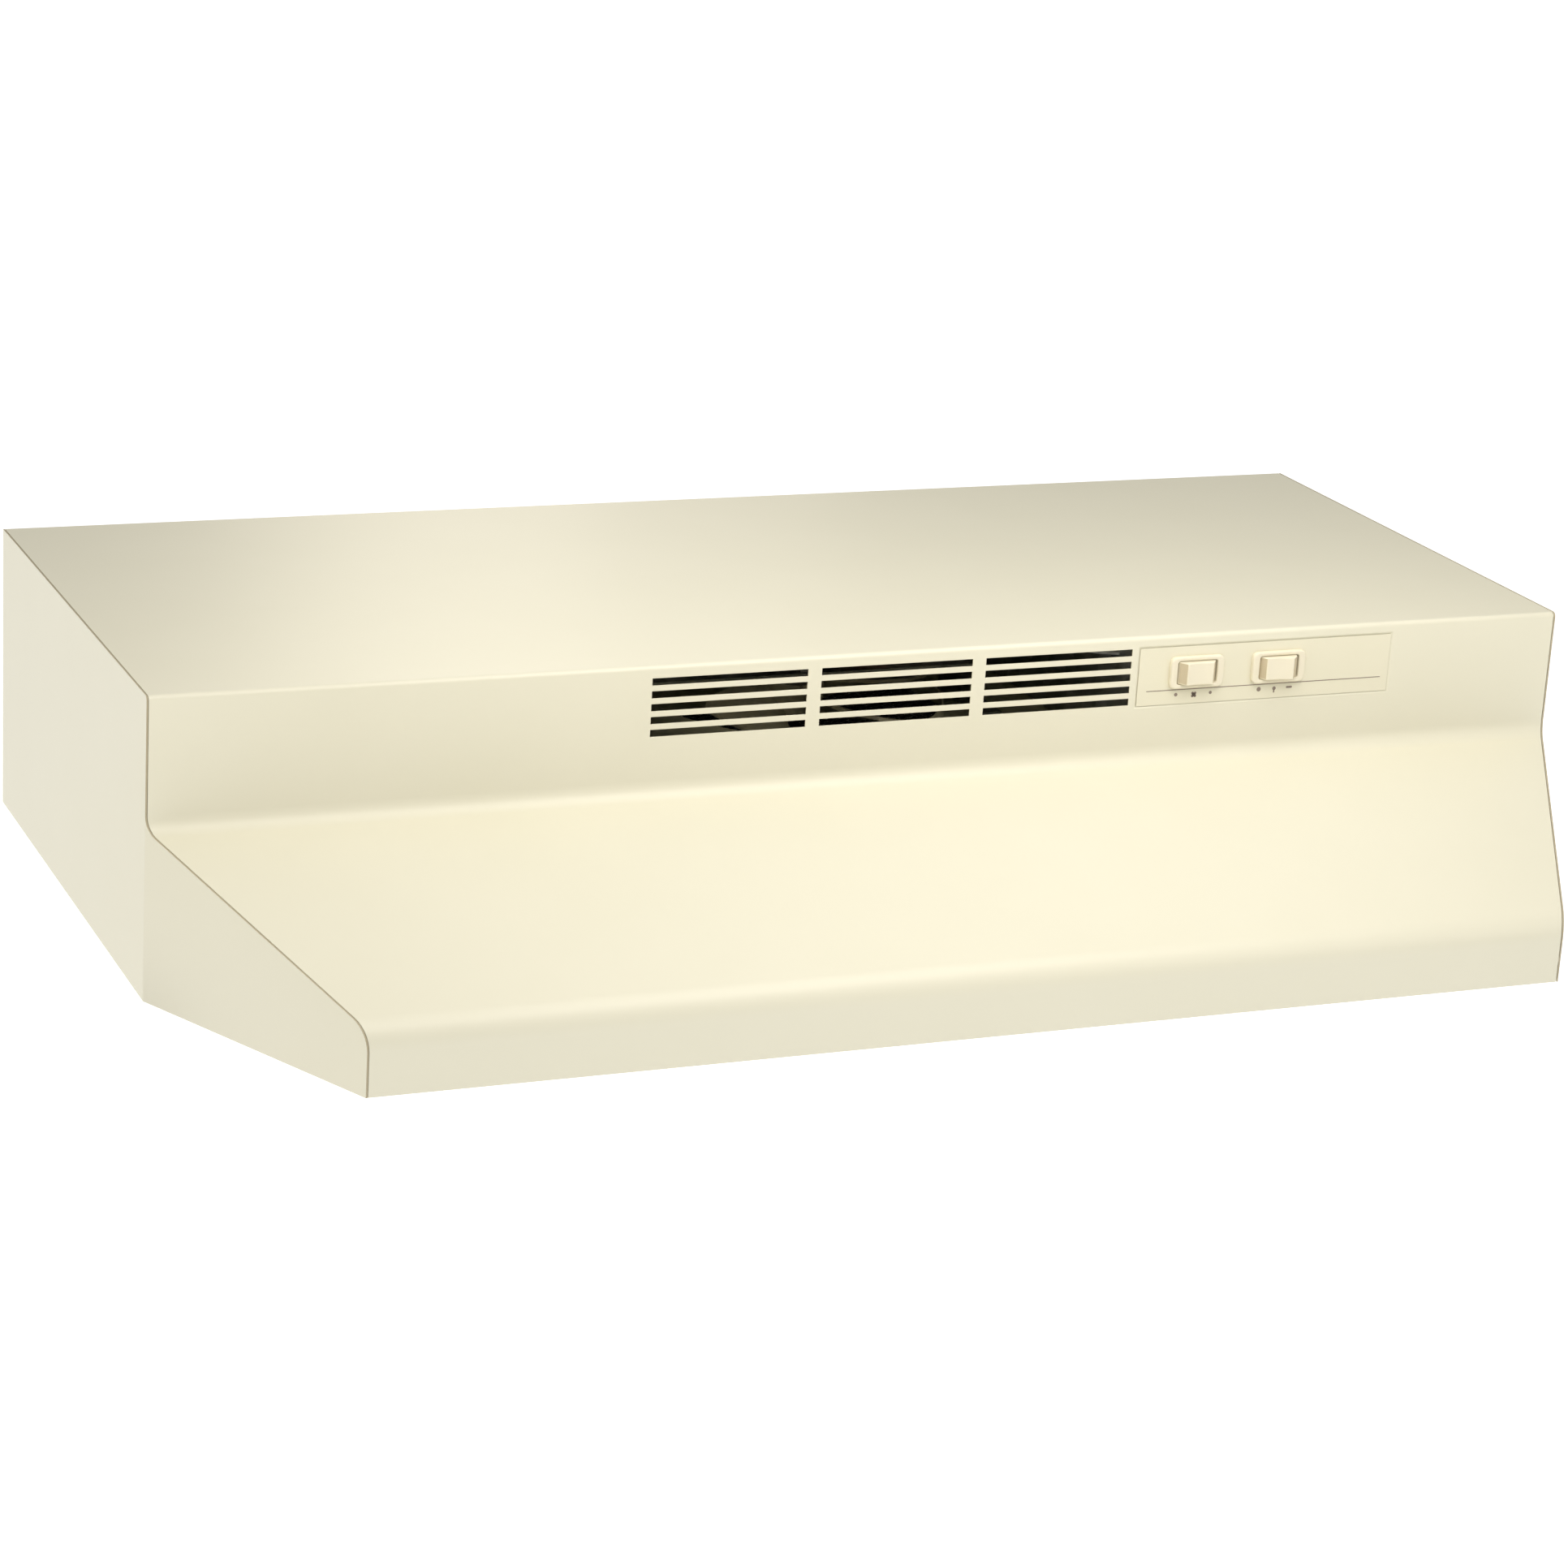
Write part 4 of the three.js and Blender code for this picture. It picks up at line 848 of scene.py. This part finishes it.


# A darker tan for the rockers' steep ends: painted shade, with a rougher gloss.
painted_shade_rocker_end, _ = mottled_finish(
    "painted_shade_on_rocker_ends", "cfc2a6", "c6b89a",
    roughness=0.6, metallic=0, patch_mm=8, grain_mm=0.4, depth_mm=0.01,
)
for name, node, body, tilt in (
    ("moulded_fan_rocker", "fan_switch_rocker", "fan_switch", 0),
    ("moulded_light_rocker", "light_switch_rocker", "light_switch", 7),
):
    piece = add_piece(name, rocker(node, tilt), moulded, body, "almond_plastic", node)
    piece.data.materials.append(painted_shade_rocker_end)

# ---- Printed marks -----------------------------------------------------------
# A line and plain signs for speed and light, screen printed in taupe ink.

ink, _ = mottled_finish(
    "taupe_screen_ink", "94857a", "857669",
    roughness=0.55, metallic=0, patch_mm=5, grain_mm=0.4, depth_mm=0.001,
)
film_y = film_low.y / MM - RECESS_RAISE - 0.02


def printed(shape, outline):
    """A thin patch of ink over an outline of x, z points in mm."""
    loft(shape, [[Vector((u, y, v)) for u, v in outline] for y in (film_y - 0.06, film_y)])


def dot(shape, x, z, r):
    printed(shape, [(x + p.x, z + p.y) for p in circle(r, 0, sides=20)])


def bar(shape, x, z, width, height):
    corners = min(width, height) * 0.3
    printed(shape, [(x + p.x, z + p.y) for p in rounded_rectangle(width, height, corners, 3)])


marks = bmesh.new()
bar(marks, 208.7, -29.3, 137, 0.42)
row_z = -31.9
# Under the fan's rocker: a dot, a sign of four petals and a dot.
for x, r in ((157.4, 0.95), (177.4, 0.85)):
    dot(marks, x, row_z, r)
petals_x, petals_z, petals_out = 167.8, -32.4, 1.05
for quarter in range(4):
    angle = math.pi / 2 * quarter + math.pi / 4
    dot(marks, petals_x + petals_out * math.cos(angle), petals_z + petals_out * math.sin(angle), 0.75)
dot(marks, petals_x, petals_z, 0.9)
# Under the light's rocker: a dot, a lamp on its stem and a bar.
dot(marks, 205.6, row_z, 1.2)
bar(marks, 223.4, -31.7, 3.4, 1.1)
dot(marks, 214.6, row_z, 1.0)
bar(marks, 214.6, -33.4, 0.8, 1.6)
add_piece("printed_marks", marks, ink, "hood", "label_film")

# ---- Wiring ------------------------------------------------------------------
# PVC covered leads run from the switches, motor and lamp to twist-on nylon
# connectors in the box, where a green screw takes the earth.

for node, colour, shade, slot in (
    ("fan_switch_lead", "242425", "1a1a1b", "black_wire"),
    ("light_switch_lead", "242425", "1a1a1b", "black_wire"),
    ("motor_return_lead", "e8e8e4", "dddcd6", "white_wire"),
    ("lamp_return_lead", "e8e8e4", "dddcd6", "white_wire"),
    ("motor_supply_lead", "ab342c", "962b24", "red_wire"),
    ("lamp_supply_lead", "ab342c", "962b24", "red_wire"),
):
    pvc = bpy.data.materials.get("pvc_" + slot)
    if pvc is None:
        pvc, _ = mottled_finish(
            "pvc_" + slot, colour, shade,
            roughness=0.45, metallic=0, patch_mm=8, grain_mm=0.6, depth_mm=0.004,
        )
    part = cleaned(node)
    add_piece("pvc_" + node, part, pvc, "hood", slot, node, smooth_degrees=60)

nylon, _ = mottled_finish(
    "orange_nylon", "dc8730", "c97624",
    roughness=0.42, metallic=0, patch_mm=5, grain_mm=0.6, depth_mm=0.01,
)
for node in ("black_wire_connector", "white_wire_connector"):
    low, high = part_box(node)
    place = Matrix.Translation(((low.x + high.x) / 2, low.y, (low.z + high.z) / 2))
    place = place @ Matrix.Rotation(-math.pi / 2, 4, "X")
    length = (high.y - low.y) / MM
    rib = 0.055  # the ribs' height as a share of the radius
    rings = []
    for k in range(9):
        rise = k / 8
        rings.append([
            p * (1 - rib * (i % 2)) + Vector((0, 0, length * rise))
            for i, p in enumerate(circle(6.2 - 2.4 * rise ** 1.6, 0, sides=48))
        ])
    rings.append(circle(2.2, length, sides=48))
    ribbed = bmesh.new()
    loft(ribbed, rings, turn=place)
    add_piece("ribbed_" + node, ribbed, nylon, "hood", "connector_plastic", node)

green_chromate, _ = mottled_finish(
    "green_chromate", "34804a", "28693b",
    roughness=0.35, metallic=0.6, patch_mm=4, grain_mm=0.5, depth_mm=0.003,
)
low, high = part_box("ground_screw")
place = Matrix.Translation((low.x, (low.y + high.y) / 2, (low.z + high.z) / 2))
place = place @ Matrix.Rotation(math.pi / 2, 4, "Y")
add_piece(
    "green_ground_screw", hex_screw("ground_screw", place), green_chromate, "hood", "green_steel",
    "ground_screw",
)
